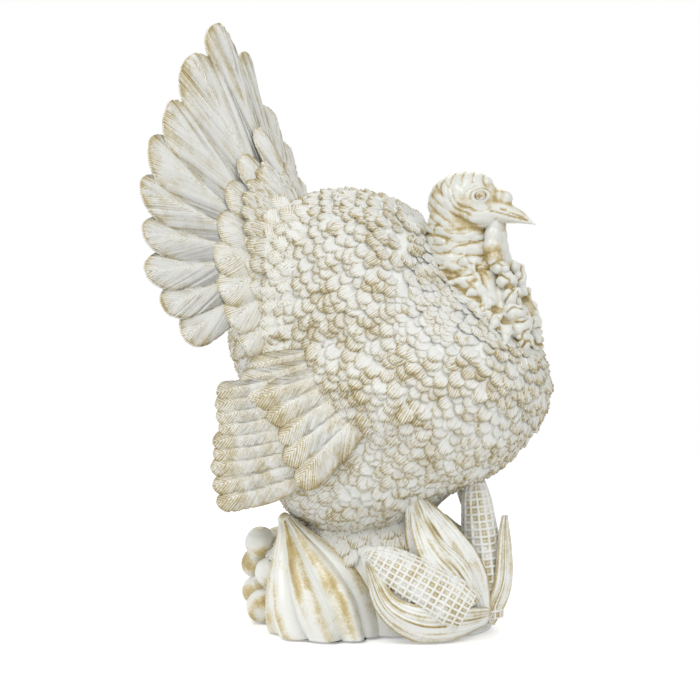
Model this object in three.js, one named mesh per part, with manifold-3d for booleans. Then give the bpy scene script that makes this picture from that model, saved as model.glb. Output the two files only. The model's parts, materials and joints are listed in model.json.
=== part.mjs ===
// Turkey figure: a rigid table decoration of cast resin pieces, bonded to one another.
// The bird faces +X, +Z is up, and the origin is on the table, under the middle of the plinth.
// Sizes are in millimetres and angles in degrees. The bird's right side is -Y.
import * as THREE from "three";
import { mergeVertices } from "three/addons/utils/BufferGeometryUtils.js";
import Module from "manifold-3d";

// Glue line between neighbouring castings
const BOND_GAP = 0.35;

// Body: a hollow casting, whose side outline shrinks towards both flanks.
// The swells are shares of the mean radius, evenly spaced round the outline from the breast over the back.
const BODY_RADIUS = 97;
const BODY_HALF_WIDTH = 62;
const BODY_WALL = 8;
const BODY_AHEAD = 8;
const BODY_LEVEL = 142;
const BODY_SWELL = [0.975, 0.79, 0.75, 1.05, 1.18, 1.06, 0.88, 0.87, 0.98, 0.91, 0.76, 0.86];
const BODY_FULLNESS = 2.3;
const CROWN_ANGLE = 44;
const PLUME_ROWS = 11;
const PLUMES_ROUND = 16;
const PLUME_RELIEF = 3.6;
const POUR_HOLE_RADIUS = 14;
const POUR_HOLE_BACK = 20;

// Tail: feathers that fan out of a domed core on the rump, closing up towards the sides.
// The widths and the shares of the reach run from the middle feather to the outermost one.
const TAIL_ROOT_ANGLE = 130;
const TAIL_ROOT_DEPTH = 21;
const TAIL_LEAN = 19;
const TAIL_SWEEP = 17;
const TAIL_FIRST_GAP = 19;
const TAIL_GAP_DROP = 0.82;
const TAIL_REACH = 137;
const TAIL_SHARES = [1.03, 0.95, 0.86, 0.87, 0.9, 0.91, 0.96, 0.95, 0.95];
const TAIL_WIDTHS = [38, 38, 35, 31, 28, 26, 24, 23, 23];
const TAIL_CAMBER = 0.4;
const TAIL_LAP_CAMBER = 0.05;
const TAIL_FEATHER_THICKNESS = 3;
const TAIL_FEATHER_ROLL = 9;
const TAIL_FEATHER_ROOT = 34;
const TAIL_CORE_RADIUS = 46;
const TAIL_CORE_THICKNESS = 24;
const COVERT_REACH = 74;
const COVERT_GAP = 16;
const COVERT_SIDE_FEATHERS = 7;
const COVERT_THICKNESS = 3.4;

// Wings: a shoulder, a fan of secondaries and a fan of primaries on each flank
const WING_FEATHER_THICKNESS = 3.4;
const WING_FEATHER_BACKING = 9;
const SECONDARIES = 6;
const PRIMARIES = 8;
const SHOULDER_LENGTH = 60;
const SHOULDER_HEIGHT = 38;
const SHOULDER_THICKNESS = 9;

// Neck and head
const HEAD_LENGTH = 46;
const HEAD_HEIGHT = 37;
const HEAD_WIDTH = 29;
const HEAD_AHEAD = 45;
const HEAD_RISE = 100;
const BEAK_LENGTH = 26;
const BEAK_HEIGHT = 13;
const NECK_DEPTH = 33;
const NECK_FLARE = 6;
const EYE_RADIUS = 3.4;
const SNOOD_RADIUS = 4.4;
const WATTLE_BEADS = 8;
const WATTLE_BEAD_RADIUS = 6;
const WATTLE_DROP = 66;
const WATTLE_SPLAY = 8;

// Harvest produce
const GOURD_HEIGHT = 68;
const GOURD_RADIUS = 30;
const GOURD_RIBS = 10;
const GOURD_RIB_DEPTH = 3.4;
const COB_LENGTH = 66;
const COB_RADIUS = 13;
const STANDING_COB_LENGTH = 84;
const STANDING_COB_RADIUS = 10;
const KERNEL_ROWS = 9;
const KERNELS_IN_ROW = 8;
const KERNEL_RELIEF = 1;
const GRAPE_RADIUS = 9;
const HUSK_WIDTH = 22;
const HUSK_THICKNESS = 2.4;
const HUSK_CAMBER = 0.3;

// Stand
const FELT_THICKNESS = 1;
const FELT_INSET = 6;
const PLINTH_HALF_LENGTH = 68;
const PLINTH_HALF_WIDTH = 40;
const PLINTH_HEIGHT = 62;
const PLUG_THICKNESS = 5;

// Dowels that locate the neck and the tail core on the body
const DOWEL_RADIUS = 3;
const DOWEL_LENGTH = 14;
const TAIL_DOWEL_SPACING = 40;

const wasm = await Module();
wasm.setup();

const { sin, cos, hypot, sign, min, max, abs } = Math;
const radians = THREE.MathUtils.degToRad;
const smooth = THREE.MathUtils.smoothstep;
const mix = THREE.MathUtils.lerp;
const vec = (x, y, z) => new THREE.Vector3(x, y, z);
const steps = (count) => Array.from({ length: count + 1 }, (_, k) => k / count);
const LENGTHWISE = vec(1, 0, 0);
const SIDEWAYS = vec(0, 1, 0);
const UPRIGHT = vec(0, 0, 1);

// Solids

/** Solid of a closed geometry. */
function solidOf(geometry) {
  const bare = geometry.clone();
  bare.deleteAttribute("normal");
  bare.deleteAttribute("uv");
  const merged = mergeVertices(bare);
  return new wasm.Manifold(
    new wasm.Mesh({
      numProp: 3,
      vertProperties: merged.attributes.position.array,
      triVerts: new Uint32Array(merged.index.array),
    }),
  );
}

/** Geometry of a solid, for drawing it. */
function geometryOf(solid) {
  const { vertProperties, triVerts } = solid.getMesh();
  const geometry = new THREE.BufferGeometry();
  geometry.setAttribute("position", new THREE.BufferAttribute(vertProperties, 3));
  geometry.setIndex(new THREE.BufferAttribute(triVerts, 1));
  geometry.computeVertexNormals();
  return geometry;
}

/** Step of a corner that moves each face round it out by the gap: the mitre of their normals. */
function mitre(normals, gap) {
  const sum = new Float64Array(9);
  const total = vec(0, 0, 0);
  for (const normal of normals) {
    const n = normal.toArray();
    sum.forEach((_, k) => (sum[k] += n[k % 3] * n[Math.floor(k / 3)]));
    total.add(normal);
  }
  const [ease, limit] = [0.02 * normals.length, 3 * gap];
  [0, 4, 8].forEach((k) => (sum[k] += ease));
  const solve = new THREE.Matrix3().fromArray(sum).invert();
  return total.applyMatrix3(solve).multiplyScalar(gap).clampLength(0, limit);
}

/** The solid with every face moved out, which cuts a seat for it with the glue line all round. */
function grown(solid, gap = BOND_GAP) {
  const { vertProperties, triVerts } = solid.getMesh();
  const points = Array.from({ length: vertProperties.length / 3 }, (_, i) =>
    new THREE.Vector3().fromArray(vertProperties, 3 * i),
  );
  const normals = points.map(() => []);
  for (let t = 0; t < triVerts.length; t += 3) {
    const corners = Array.from(triVerts.subarray(t, t + 3));
    const normal = new THREE.Triangle(...corners.map((i) => points[i])).getNormal(vec(0, 0, 0));
    corners.forEach((i) => normals[i].push(normal));
  }
  const geometry = new THREE.BufferGeometry();
  geometry.setFromPoints(points.map((point, i) => point.clone().add(mitre(normals[i], gap))));
  geometry.setIndex(Array.from(triVerts));
  return solidOf(geometry);
}

/** The solid cut back from its neighbours by the glue line. Offcuts are thrown away. */
function fitted(solid, ...neighbours) {
  const left = neighbours.reduce((kept, neighbour) => kept.subtract(grown(neighbour)), solid);
  return left.decompose().reduce((large, body) => (body.volume() > large.volume() ? body : large));
}

/** One solid of several that run into one another. */
const joined = (solids) => solids.reduce((all, solid) => all.add(solid));

/** Solid skinned over rings of points, with flat ends. */
function loft(rings) {
  const sides = rings[0].length;
  const middle = (ring) => ring.reduce((sum, p) => sum.add(p), vec(0, 0, 0)).divideScalar(sides);
  const points = [...rings.flat(), middle(rings[0]), middle(rings.at(-1))];
  const lastRing = (rings.length - 1) * sides;
  const [startMiddle, endMiddle] = [points.length - 2, points.length - 1];
  const faces = [];
  for (let s = 0; s < sides; s++) {
    const next = (s + 1) % sides;
    faces.push([startMiddle, next, s], [endMiddle, lastRing + s, lastRing + next]);
    for (let r = 0; r < lastRing; r += sides) {
      faces.push([r + s, r + next, r + next + sides], [r + s, r + next + sides, r + s + sides]);
    }
  }
  const spin = ([a, b, c]) => points[a].dot(points[b].clone().cross(points[c]));
  const inwards = faces.reduce((sum, face) => sum + spin(face), 0) < 0;
  const geometry = new THREE.BufferGeometry().setFromPoints(points);
  geometry.setIndex(faces.flatMap(([a, b, c]) => (inwards ? [a, c, b] : [a, b, c])));
  return solidOf(geometry);
}

/** Ellipsoid with half sizes along X, Y and Z, tipped about Y. */
function ellipsoid(centre, halves, across = 10, down = 7, tip = 0) {
  const geometry = new THREE.SphereGeometry(1, across, down).rotateX(Math.PI / 2);
  geometry.scale(halves.x, halves.y, halves.z).rotateY(radians(tip));
  return solidOf(geometry.translate(centre.x, centre.y, centre.z));
}

/** Round bar between two points. */
function bar(from, to, radius, sides = 16) {
  const along = to.clone().sub(from);
  const geometry = new THREE.CylinderGeometry(radius, radius, along.length(), sides);
  geometry.applyQuaternion(new THREE.Quaternion().setFromUnitVectors(SIDEWAYS, along.clone().normalize()));
  const middle = from.clone().add(to).multiplyScalar(0.5);
  return solidOf(geometry.translate(middle.x, middle.y, middle.z));
}

/** Mirror image on the bird's other side. */
const mirrored = (solid) => solid.mirror([0, 1, 0]);

/**
 * Feather or leaf: a blade skinned along a curve, highest at its midrib, with both edges falling back.
 * path, face and half give its middle, the way its face looks and its half width at a share of its length.
 * camber is the fall of each edge, as a share of the half width.
 */
function blade({ path, face, half, thickness, camber, count = 6 }) {
  const rings = steps(count).map((share) => {
    const u = 1 - (1 - share) ** 1.5;
    const along = path(min(1, u + 0.01)).sub(path(max(0, u - 0.01))).normalize();
    const across = face.clone().cross(along).normalize();
    const out = along.clone().cross(across);
    const w = half(u);
    const [first, last] = camber.map((fall) => fall * w);
    const section = [
      [-w, -first],
      [-w / 2, thickness * 0.45 - first * 0.4],
      [0, thickness / 2],
      [w / 2, thickness * 0.45 - last * 0.4],
      [w, -last],
      [0, -thickness / 2],
    ];
    return section.map(([a, o]) => path(u).addScaledVector(across, a).addScaledVector(out, o));
  });
  return loft(rings);
}

/** Half width of a paddle-shaped feather: a narrow root, full by the middle, and a round tip. */
const paddle = (width, root) => (u) => {
  const swell = mix(root / 2, width / 2, smooth(u, 0, 0.6));
  const tip = max(0, (u - 0.78) / 0.22);
  return swell * max(0.2, Math.sqrt(1 - tip * tip));
};

/**
 * Row of lapped feathers cast as one sheet, each highest along its middle and scalloped at its tip.
 * point gives the middle and the face at a share of the length and a count of feathers across the row.
 */
function sheet(count, point, thickness, back, scallop) {
  const rings = [];
  for (let feather = 0; feather < count; feather++) {
    for (const [across, height] of [[0.04, 0], [0.5, 1], [0.96, 0.4]]) {
      const tip = 1 - scallop * abs(2 * across - 1);
      const front = [0, 0.4, 0.75, 1].map((u) => [u * tip, thickness * height]);
      const rear = [1, 0.6, 0].map((u) => [u * tip, -back(u * tip)]);
      rings.push(
        [...front, ...rear].map(([u, lift]) => {
          const { middle, face } = point(u, feather + across);
          return middle.clone().addScaledVector(face, lift);
        }),
      );
    }
  }
  return loft(rings);
}

/** Half width of a husk leaf: broad low down, drawn to a point. */
const lance = (width) => (u) => (width / 2) * max(0.12, sin(Math.PI * mix(0.16, 0.97, u)) ** 0.8);

// Body

const bodyMiddle = vec(BODY_AHEAD, 0, BODY_LEVEL);
const NECK_SEAT_ANGLE = 42;

/** Radius of the body's side outline, by a closed spline through the swells. */
function bodyRadius(angle) {
  const count = BODY_SWELL.length;
  const place = (((angle / 360) % 1) + 1) * count;
  const whole = Math.floor(place);
  const f = place - whole;
  const [a, b, c, d] = [-1, 0, 1, 2].map((k) => BODY_SWELL[(whole + k) % count]);
  const curve = b + 0.5 * f * (c - a + f * (2 * a - 5 * b + 4 * c - d + f * (3 * (b - c) + d - a)));
  return BODY_RADIUS * curve;
}

/** Point in the bird's middle plane, at an angle and a distance from the body's middle. */
function sidePoint(angle, radius) {
  return bodyMiddle.clone().add(vec(cos(radians(angle)), 0, sin(radians(angle))).multiplyScalar(radius));
}

/** How far out a place in the side view lies: 0 in the body's middle, 1 on its outline. */
function outlineShare(x, z) {
  const [dx, dz] = [x - bodyMiddle.x, z - bodyMiddle.z];
  return hypot(dx, dz) / bodyRadius(THREE.MathUtils.radToDeg(Math.atan2(dz, dx)));
}

const tailRoot = sidePoint(TAIL_ROOT_ANGLE, bodyRadius(TAIL_ROOT_ANGLE) - TAIL_ROOT_DEPTH);
const neckSeat = sidePoint(NECK_SEAT_ANGLE, bodyRadius(NECK_SEAT_ANGLE));

function bodyShell(inset, sides, rows) {
  const rings = steps(rows).map((share) => {
    const lateral = -cos(Math.PI * mix(0.035, 0.965, share));
    const shrink = (1 - abs(lateral) ** BODY_FULLNESS) ** (1 / BODY_FULLNESS);
    return steps(sides).slice(0, -1).map((turn) => {
      const point = sidePoint(360 * turn, (bodyRadius(360 * turn) - inset) * shrink);
      return point.setY(lateral * (BODY_HALF_WIDTH - inset));
    });
  });
  return loft(rings);
}

/** Place on the body's skin along a way out of its middle, sunk by an inset. */
function skinPoint(way, inset) {
  const flat = hypot(way.x, way.z) / bodyRadius(THREE.MathUtils.radToDeg(Math.atan2(way.z, way.x)));
  const level = flat ** BODY_FULLNESS + (abs(way.y) / BODY_HALF_WIDTH) ** BODY_FULLNESS;
  return bodyMiddle.clone().addScaledVector(way, level ** (-1 / BODY_FULLNESS) - inset);
}

/** How free the skin is for feathers: 0 in the seats of the neck, tail, wings and plinth, 1 off them. */
function free(point) {
  const clear = (seat, near) => smooth(point.distanceTo(seat), near, near + 9);
  const flank = 1 - smooth(abs(point.y), 24, 32);
  const overWing = smooth(point.z + 0.35 * abs(point.x - 24), BODY_LEVEL + 14, BODY_LEVEL + 23);
  const aheadOfWing = smooth(point.x - 0.3 * (point.z - BODY_LEVEL), BODY_AHEAD + 38, BODY_AHEAD + 47);
  const beside = max(flank, overWing, aheadOfWing);
  const above = smooth(point.z, PLINTH_HEIGHT + 6, PLINTH_HEIGHT + 15);
  return min(clear(neckSeat, 24), clear(tailRoot, 44), beside, above);
}

/** The body in shingled feathers, in rows round the neck's foot that lap towards the tail. */
function plumedBody() {
  const crown = sidePoint(CROWN_ANGLE, 1).sub(bodyMiddle);
  const up = sidePoint(CROWN_ANGLE + 90, 1).sub(bodyMiddle);
  const ring = (row, low) =>
    steps(2 * PLUMES_ROUND).slice(0, -1).map((turn, column) => {
      const notch = (column + row) % 2;
      const away = mix(0.05, 0.97, (row + 1 - 0.34 * notch + 0.08 * low) / PLUME_ROWS) * Math.PI;
      const around = up.clone().applyAxisAngle(crown, 2 * Math.PI * turn);
      const way = crown.clone().multiplyScalar(cos(away)).addScaledVector(around, sin(away));
      const inset = PLUME_RELIEF * (low ? 1 : 0.3 * notch);
      return skinPoint(way, inset * free(skinPoint(way, 0)));
    });
  return loft(steps(PLUME_ROWS - 1).flatMap((_, row) => [ring(row, 0), ring(row, 1)]));
}

// Tail

const tailUp = vec(-sin(radians(TAIL_LEAN)), 0, cos(radians(TAIL_LEAN)));
const tailFace = vec(cos(radians(TAIL_LEAN)), 0, sin(radians(TAIL_LEAN)));

/** Way that a tail feather points, by its angle from the middle one. Right-hand angles are positive. */
function fanWay(angle) {
  const side = sin(radians(angle));
  const ease = 0.2;
  const swept = (hypot(side, ease) - ease) * sin(radians(TAIL_SWEEP));
  const way = tailUp.clone().multiplyScalar(cos(radians(angle)));
  way.addScaledVector(SIDEWAYS, -side * cos(radians(TAIL_SWEEP))).addScaledVector(LENGTHWISE, -swept);
  return way.normalize();
}

/** Front face of the fan at an angle, rolled so that inner feathers lap over outer ones. */
function fanFace(angle, roll) {
  const across = fanWay(angle + 1).sub(fanWay(angle - 1));
  const face = across.cross(fanWay(angle)).normalize();
  return face.multiplyScalar(sign(face.x)).applyAxisAngle(fanWay(angle), radians(roll));
}

const fanAngle = (index) => index * (TAIL_FIRST_GAP - TAIL_GAP_DROP * (abs(index) - 1));

function tailFeather(index) {
  const angle = fanAngle(index);
  const way = fanWay(angle);
  const face = fanFace(angle, sign(index) * TAIL_FEATHER_ROLL);
  const lift = index === 0 ? TAIL_FEATHER_THICKNESS / 2 : 0;
  const tip = TAIL_REACH * TAIL_SHARES[abs(index)];
  const path = (u) =>
    tailRoot.clone().addScaledVector(way, mix(TAIL_FEATHER_ROOT, tip, u)).addScaledVector(face, lift);
  const width = TAIL_WIDTHS[abs(index)];
  const half = paddle(width, width * 0.3);
  const fall = (side) => (side * index < 0 ? TAIL_CAMBER : TAIL_LAP_CAMBER);
  return blade({ path, face, half, thickness: TAIL_FEATHER_THICKNESS, camber: [fall(-1), fall(1)] });
}

/** Coverts over the roots of the tail feathers, lying on the core's dome. */
function tailCoverts() {
  const dome = TAIL_CORE_THICKNESS / 2;
  const point = (u, feather) => {
    const angle = (feather - 0.5 - COVERT_SIDE_FEATHERS) * COVERT_GAP;
    const height = mix(dome, TAIL_FEATHER_THICKNESS * 1.9, u * u);
    const middle = tailRoot.clone().addScaledVector(fanWay(angle), mix(0.22, 1, u) * COVERT_REACH);
    return { middle: middle.addScaledVector(fanFace(angle, 0), height), face: fanFace(angle, 0) };
  };
  const back = (u) => mix(dome, COVERT_THICKNESS / 2, smooth(u, 0, 0.6));
  return sheet(2 * COVERT_SIDE_FEATHERS + 1, point, COVERT_THICKNESS, back, 0.16);
}

function tailCore() {
  const middle = tailRoot.clone().addScaledVector(tailUp, TAIL_CORE_RADIUS * 0.42);
  const halves = vec(TAIL_CORE_THICKNESS / 2, TAIL_CORE_RADIUS, TAIL_CORE_RADIUS);
  return ellipsoid(middle, halves, 16, 8, -TAIL_LEAN);
}

// Wings, built on the bird's right and mirrored for its left

/** Right wing's surface, at shares of the body's radius: on the flank, and off it towards the tips. */
function wingPoint(ahead, rise) {
  const [x, z] = [bodyMiddle.x + ahead * BODY_RADIUS, bodyMiddle.z + rise * BODY_RADIUS];
  const share = min(1.1, outlineShare(x, z));
  return vec(x, -(BODY_HALF_WIDTH + WING_FEATHER_THICKNESS) * Math.sqrt(1 - 0.5 * share * share), z);
}

/**
 * Fan of wing feathers, from the top one to the bottom one. Roots and tips are places in the side view,
 * as shares of the body's radius. The feathers sag below the straight line by their bow.
 */
function wingFan(count, roots, tips, bow) {
  const between = ([a, b], share) => [mix(a[0], b[0], share), mix(a[1], b[1], share)];
  const face = vec(-0.25, -1, 0).normalize();
  const point = (u, feather) => {
    const [root, tip] = [between(roots, feather / count), between(tips, feather / count)];
    const sag = 4 * bow * u * (1 - u);
    return { middle: wingPoint(mix(root[0], tip[0], u), mix(root[1], tip[1], u) - sag), face };
  };
  const back = (u) => mix(WING_FEATHER_BACKING, WING_FEATHER_THICKNESS / 2, smooth(u, 0.2, 0.95));
  return sheet(count, point, WING_FEATHER_THICKNESS, back, 0.12);
}

const secondaries = () =>
  wingFan(SECONDARIES, [[-0.144, 0.05], [0.165, -0.33]], [[-0.6, -0.04], [-0.2, -0.66]], 0.03);
const primaries = () =>
  wingFan(PRIMARIES, [[-0.42, 0], [-0.22, -0.6]], [[-0.87, 0.03], [-0.96, -0.78]], 0.04);

function wingShoulder() {
  const middle = wingPoint(0.093, -0.082);
  const halves = vec(SHOULDER_LENGTH / 2, SHOULDER_THICKNESS, SHOULDER_HEIGHT / 2);
  return ellipsoid(middle.setY(middle.y + SHOULDER_THICKNESS * 0.4), halves, 12, 7, 38);
}

// Neck and head

const headMiddle = bodyMiddle.clone().add(vec(HEAD_AHEAD, 0, HEAD_RISE));
const byHead = (ahead, out, rise) => headMiddle.clone().add(vec(ahead, out, rise));

/** Tube of oval rings along a curve in the bird's middle plane, or beside it. */
function tube(curve, depth, width, count, sides) {
  const rings = steps(count).map((u) => {
    const out = SIDEWAYS.clone().cross(curve.getTangent(u)).normalize();
    return steps(sides).slice(0, -1).map((turn) => {
      const [c, s] = [cos(2 * Math.PI * turn), sin(2 * Math.PI * turn)];
      return curve.getPoint(u).addScaledVector(out, depth(u) * c).addScaledVector(SIDEWAYS, width(u) * s);
    });
  });
  return loft(rings);
}

function neck() {
  const bend = [[-3, -2], [-3, -20], [4, -42], [17, -62], [27, -78]];
  const spine = bend.map(([ahead, rise]) => byHead(ahead, 0, rise));
  const depth = (u) => NECK_DEPTH / 2 + (NECK_FLARE / 2) * u;
  const width = (u) => HEAD_WIDTH / 2 - 1 + NECK_FLARE * u;
  return tube(new THREE.CatmullRomCurve3(spine), depth, width, 6, 12);
}

function beak() {
  const root = byHead(HEAD_LENGTH / 2 - 8, 0, -2);
  const bend = [[0, 0], [0.6, -2], [1, -9]];
  const hook = bend.map(([share, rise]) => root.clone().add(vec(share * BEAK_LENGTH, 0, rise)));
  const taper = (u) => (BEAK_HEIGHT / 2) * max(0.12, (1 - u * u) ** 0.7);
  return tube(new THREE.CatmullRomCurve3(hook), taper, taper, 5, 8);
}

function neckAndHead() {
  const skull = ellipsoid(headMiddle, vec(HEAD_LENGTH, HEAD_WIDTH, HEAD_HEIGHT).multiplyScalar(0.5), 14, 8);
  const ball = (place, radius) => ellipsoid(place, vec(radius, radius, radius), 8, 6);
  const snood = ball(byHead(HEAD_LENGTH / 2 + 1, 0, 2), SNOOD_RADIUS);
  const eyes = [-1, 1].map((side) => ball(byHead(8, side * HEAD_WIDTH * 0.41, 5), EYE_RADIUS));
  return joined([neck(), skull, beak(), snood, ...eyes]);
}

/** Beaded lobe that hangs from the chin to the breast. */
function wattle(side) {
  const drop = [[0, 0.3, 0], [4, 0.8, -0.12], [10, 1, -0.36], [15, 1, -0.6], [18, 1, -0.8], [19, 1, -1]];
  const top = byHead(HEAD_LENGTH / 2 - 5, 0, -HEAD_HEIGHT * 0.4);
  const points = drop.map(([x, y, z]) => top.clone().add(vec(x, side * y * WATTLE_SPLAY, z * WATTLE_DROP)));
  const count = 2 * WATTLE_BEADS;
  const bead = (u) => WATTLE_BEAD_RADIUS * (Math.round(u * count) % 2 ? 1 : 0.72);
  return tube(new THREE.CatmullRomCurve3(points), bead, bead, count, 7);
}

// Harvest produce

const floorLevel = FELT_THICKNESS + BOND_GAP;

/** Turned shape on a slanted axis. Rows are shares of its length, and radius gives its skin at each. */
function turned(from, to, rows, sides, radius) {
  const along = to.clone().sub(from);
  const turn = new THREE.Quaternion().setFromUnitVectors(UPRIGHT, along.clone().normalize());
  const rings = rows.map((u, row) =>
    sides.map((share, side) => {
      const [c, s] = [cos(2 * Math.PI * share), sin(2 * Math.PI * share)];
      const r = radius(u, row, side);
      return vec(r * c, r * s, 0).applyQuaternion(turn).add(from).addScaledVector(along, u);
    }),
  );
  return loft(rings);
}

/** Value at a share, on straight lines through stations of [share, value]. */
function along(stations, u) {
  const next = max(1, stations.findIndex(([at]) => at >= u));
  const [[a, from], [b, to]] = [stations[next - 1], stations[next]];
  return mix(from, to, (u - a) / (b - a));
}

/** Place by the plinth: shares of its half length, its half width and its height. */
const byPlinth = (ahead, out, rise) =>
  vec(ahead * PLINTH_HALF_LENGTH, out * PLINTH_HALF_WIDTH, rise * PLINTH_HEIGHT);

const roundabout = (count) => steps(count).slice(0, -1);
const GOURD_SHAPE = [
  [0, 0.8],
  [0.1, 0.97],
  [0.25, 1],
  [0.4, 0.9],
  [0.6, 0.69],
  [0.8, 0.4],
  [0.92, 0.2],
  [1, 0.12],
];
const COB_SHAPE = [[0, 0.8], [0.15, 1], [0.55, 0.97], [0.8, 0.78], [0.93, 0.5], [1, 0.22]];

/** Gourd leaning back against the plinth: with its ribs, or as the plain outline round their crests. */
function gourd(side, ribbed) {
  const from = byPlinth(-0.31, side * 0.9, 0).setZ(floorLevel - 1);
  const to = vec(-0.34, -side * 0.06, 1).setLength(GOURD_HEIGHT).add(from);
  const points = roundabout(3 * GOURD_RIBS);
  const sides = ribbed ? points : points.filter((_, point) => point % 3);
  const rows = GOURD_SHAPE.map(([share]) => share);
  return turned(from, to, rows, sides, (u, row, point) => {
    const groove = ribbed && point % 3 === 0 ? GOURD_RIB_DEPTH * sin(Math.PI * min(1, 0.3 + 0.7 * u)) : 0;
    return GOURD_RADIUS * along(GOURD_SHAPE, u) - groove;
  });
}

/** Ear of corn: with its kernels, or as the plain outline round them. */
function cob(from, to, radius, kernels) {
  const rows = kernels ? steps(2 * KERNELS_IN_ROW) : COB_SHAPE.map(([share]) => share);
  return turned(from, to, rows, roundabout(2 * KERNEL_ROWS), (u, row, side) => {
    const groove = kernels && !(row % 2 && side % 2) ? KERNEL_RELIEF : 0;
    return radius * along(COB_SHAPE, u) - groove;
  });
}

const frontCobButt = byPlinth(1, -0.9, 0.29);
const frontCobTip = vec(-0.87, -0.19, 0.5).setLength(COB_LENGTH).add(frontCobButt);
const frontCob = (kernels) => cob(frontCobButt, frontCobTip, COB_RADIUS, kernels);

const standingCobButt = byPlinth(1.015, 0, 0.13);
const standingCobTip = vec(-0.115, 0.038, 1).setLength(STANDING_COB_LENGTH).add(standingCobButt);
const standingCob = (kernels) => cob(standingCobButt, standingCobTip, STANDING_COB_RADIUS, kernels);

/** Grapes round the back of the plinth: each one's place by it, and its share of the usual radius. */
const GRAPES = [
  [-0.956, -0.375, 0.742, 1],
  [-1.088, 0, 0.5, 1],
  [-0.838, -0.525, 0.484, 0.95],
  [-1.015, -0.3, 0.274, 0.95],
  [-0.897, -0.525, 0.161, 1.1],
  [-0.985, 0.3, 0.29, 1],
  [-0.882, 0.55, 0.161, 1.1],
  [-0.971, 0.325, 0.677, 1],
];

function grape([x, y, z, share]) {
  const radius = GRAPE_RADIUS * share;
  return ellipsoid(byPlinth(x, y, z), vec(radius, radius, radius), 9, 6);
}

/** Husk leaves: the curve each follows by the plinth, the way it faces, and its share of the usual width. */
const HUSKS = {
  husk_lower: {
    curve: [
      [1.059, -0.35, 0.177],
      [0.941, -0.9, 0.161],
      [0.676, -1.275, 0.177],
      [0.412, -1.425, 0.355],
      [0.235, -1.375, 0.742],
    ],
    face: [0.1, -1, -0.2],
    width: 1,
  },
  husk_upper: {
    curve: [[1.029, -0.675, 0.355], [0.882, -0.85, 0.613], [0.676, -0.925, 0.806], [0.441, -0.95, 1.032]],
    face: [0.5, -0.5, 1],
    width: 0.7,
  },
  husk_broad: {
    curve: [[1.088, -0.35, 0.129], [1.044, -0.5, 0.532], [0.912, -0.6, 0.871], [0.588, -0.625, 1.21]],
    face: [0.7, -1, 0.3],
    width: 1.1,
  },
  husk_inner: {
    curve: [[0.794, -0.6, 0.258], [0.662, -0.725, 0.71], [0.529, -0.7, 1.145]],
    face: [0.2, -1, 0],
    width: 0.9,
  },
  husk_front: {
    curve: [[1.044, -0.125, 0.097], [1.162, 0, 0.5], [1.132, 0.05, 1.081]],
    face: [1, -0.3, 0],
    width: 0.8,
  },
  husk_left_broad: {
    curve: [[0.971, 0.35, 0.129], [0.971, 0.5, 0.532], [0.853, 0.625, 0.903], [0.618, 0.675, 1.226]],
    face: [0.7, 1, 0.3],
    width: 1.1,
  },
  husk_left_lower: {
    curve: [[0.941, 0.48, 0.161], [0.706, 0.94, 0.177], [0.412, 1.08, 0.355], [0.206, 0.98, 0.742]],
    face: [0.2, 1, -0.1],
    width: 1,
  },
};

function husk({ curve, face, width }) {
  const line = new THREE.CatmullRomCurve3(curve.map((point) => byPlinth(...point)));
  const look = vec(...face);
  const half = lance(HUSK_WIDTH * width);
  const camber = [HUSK_CAMBER, HUSK_CAMBER];
  return blade({ path: (u) => line.getPoint(u), face: look, half, thickness: HUSK_THICKNESS, camber });
}

// Stand

/** Rounded outline of the stand at a height, drawn in by an inset. */
function standRing(z, share, inset, sides = 24) {
  return steps(sides).slice(0, -1).map((turn) => {
    const [c, s] = [cos(2 * Math.PI * turn), sin(2 * Math.PI * turn)];
    const square = (value) => sign(value) * abs(value) ** 0.8;
    const [length, width] = [PLINTH_HALF_LENGTH - inset, PLINTH_HALF_WIDTH - inset];
    return vec(share * length * square(c), share * width * square(s), z);
  });
}

const mound = () =>
  loft(steps(5).map((u) => standRing(mix(floorLevel, PLINTH_HEIGHT, u), 1 - 0.35 * u ** 3, 0)));
const felt = () => loft([standRing(0, 1, FELT_INSET), standRing(FELT_THICKNESS, 1, FELT_INSET)]);

/** Upright bar down the middle of the pour hole, between two heights. */
const pourBar = (radius, from, to) =>
  bar(vec(BODY_AHEAD - POUR_HOLE_BACK, 0, from), vec(BODY_AHEAD - POUR_HOLE_BACK, 0, to), radius, 20);

// Assembly

/** Resin or other finish, as the CAD shows it. */
const finish = (name, color, roughness) => new THREE.MeshStandardMaterial({ name, color, roughness });
const PLUMAGE = ["resin_plumage", 0xcfc9b4, 0.7];
const SKIN = ["resin_skin", 0xd7d5c8, 0.4];
const PRODUCE = ["resin_produce", 0xc8bd92, 0.4];
const BASE = ["resin_base", 0xd6d3c6, 0.6];
const FELT = ["felt", 0x6b6a66, 0.95];
const WOOD = ["wood", 0xb58c5a, 0.8];

function piece(name, solid, look) {
  const mesh = new THREE.Mesh(geometryOf(solid), finish(...look));
  mesh.name = name;
  return mesh;
}

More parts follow.
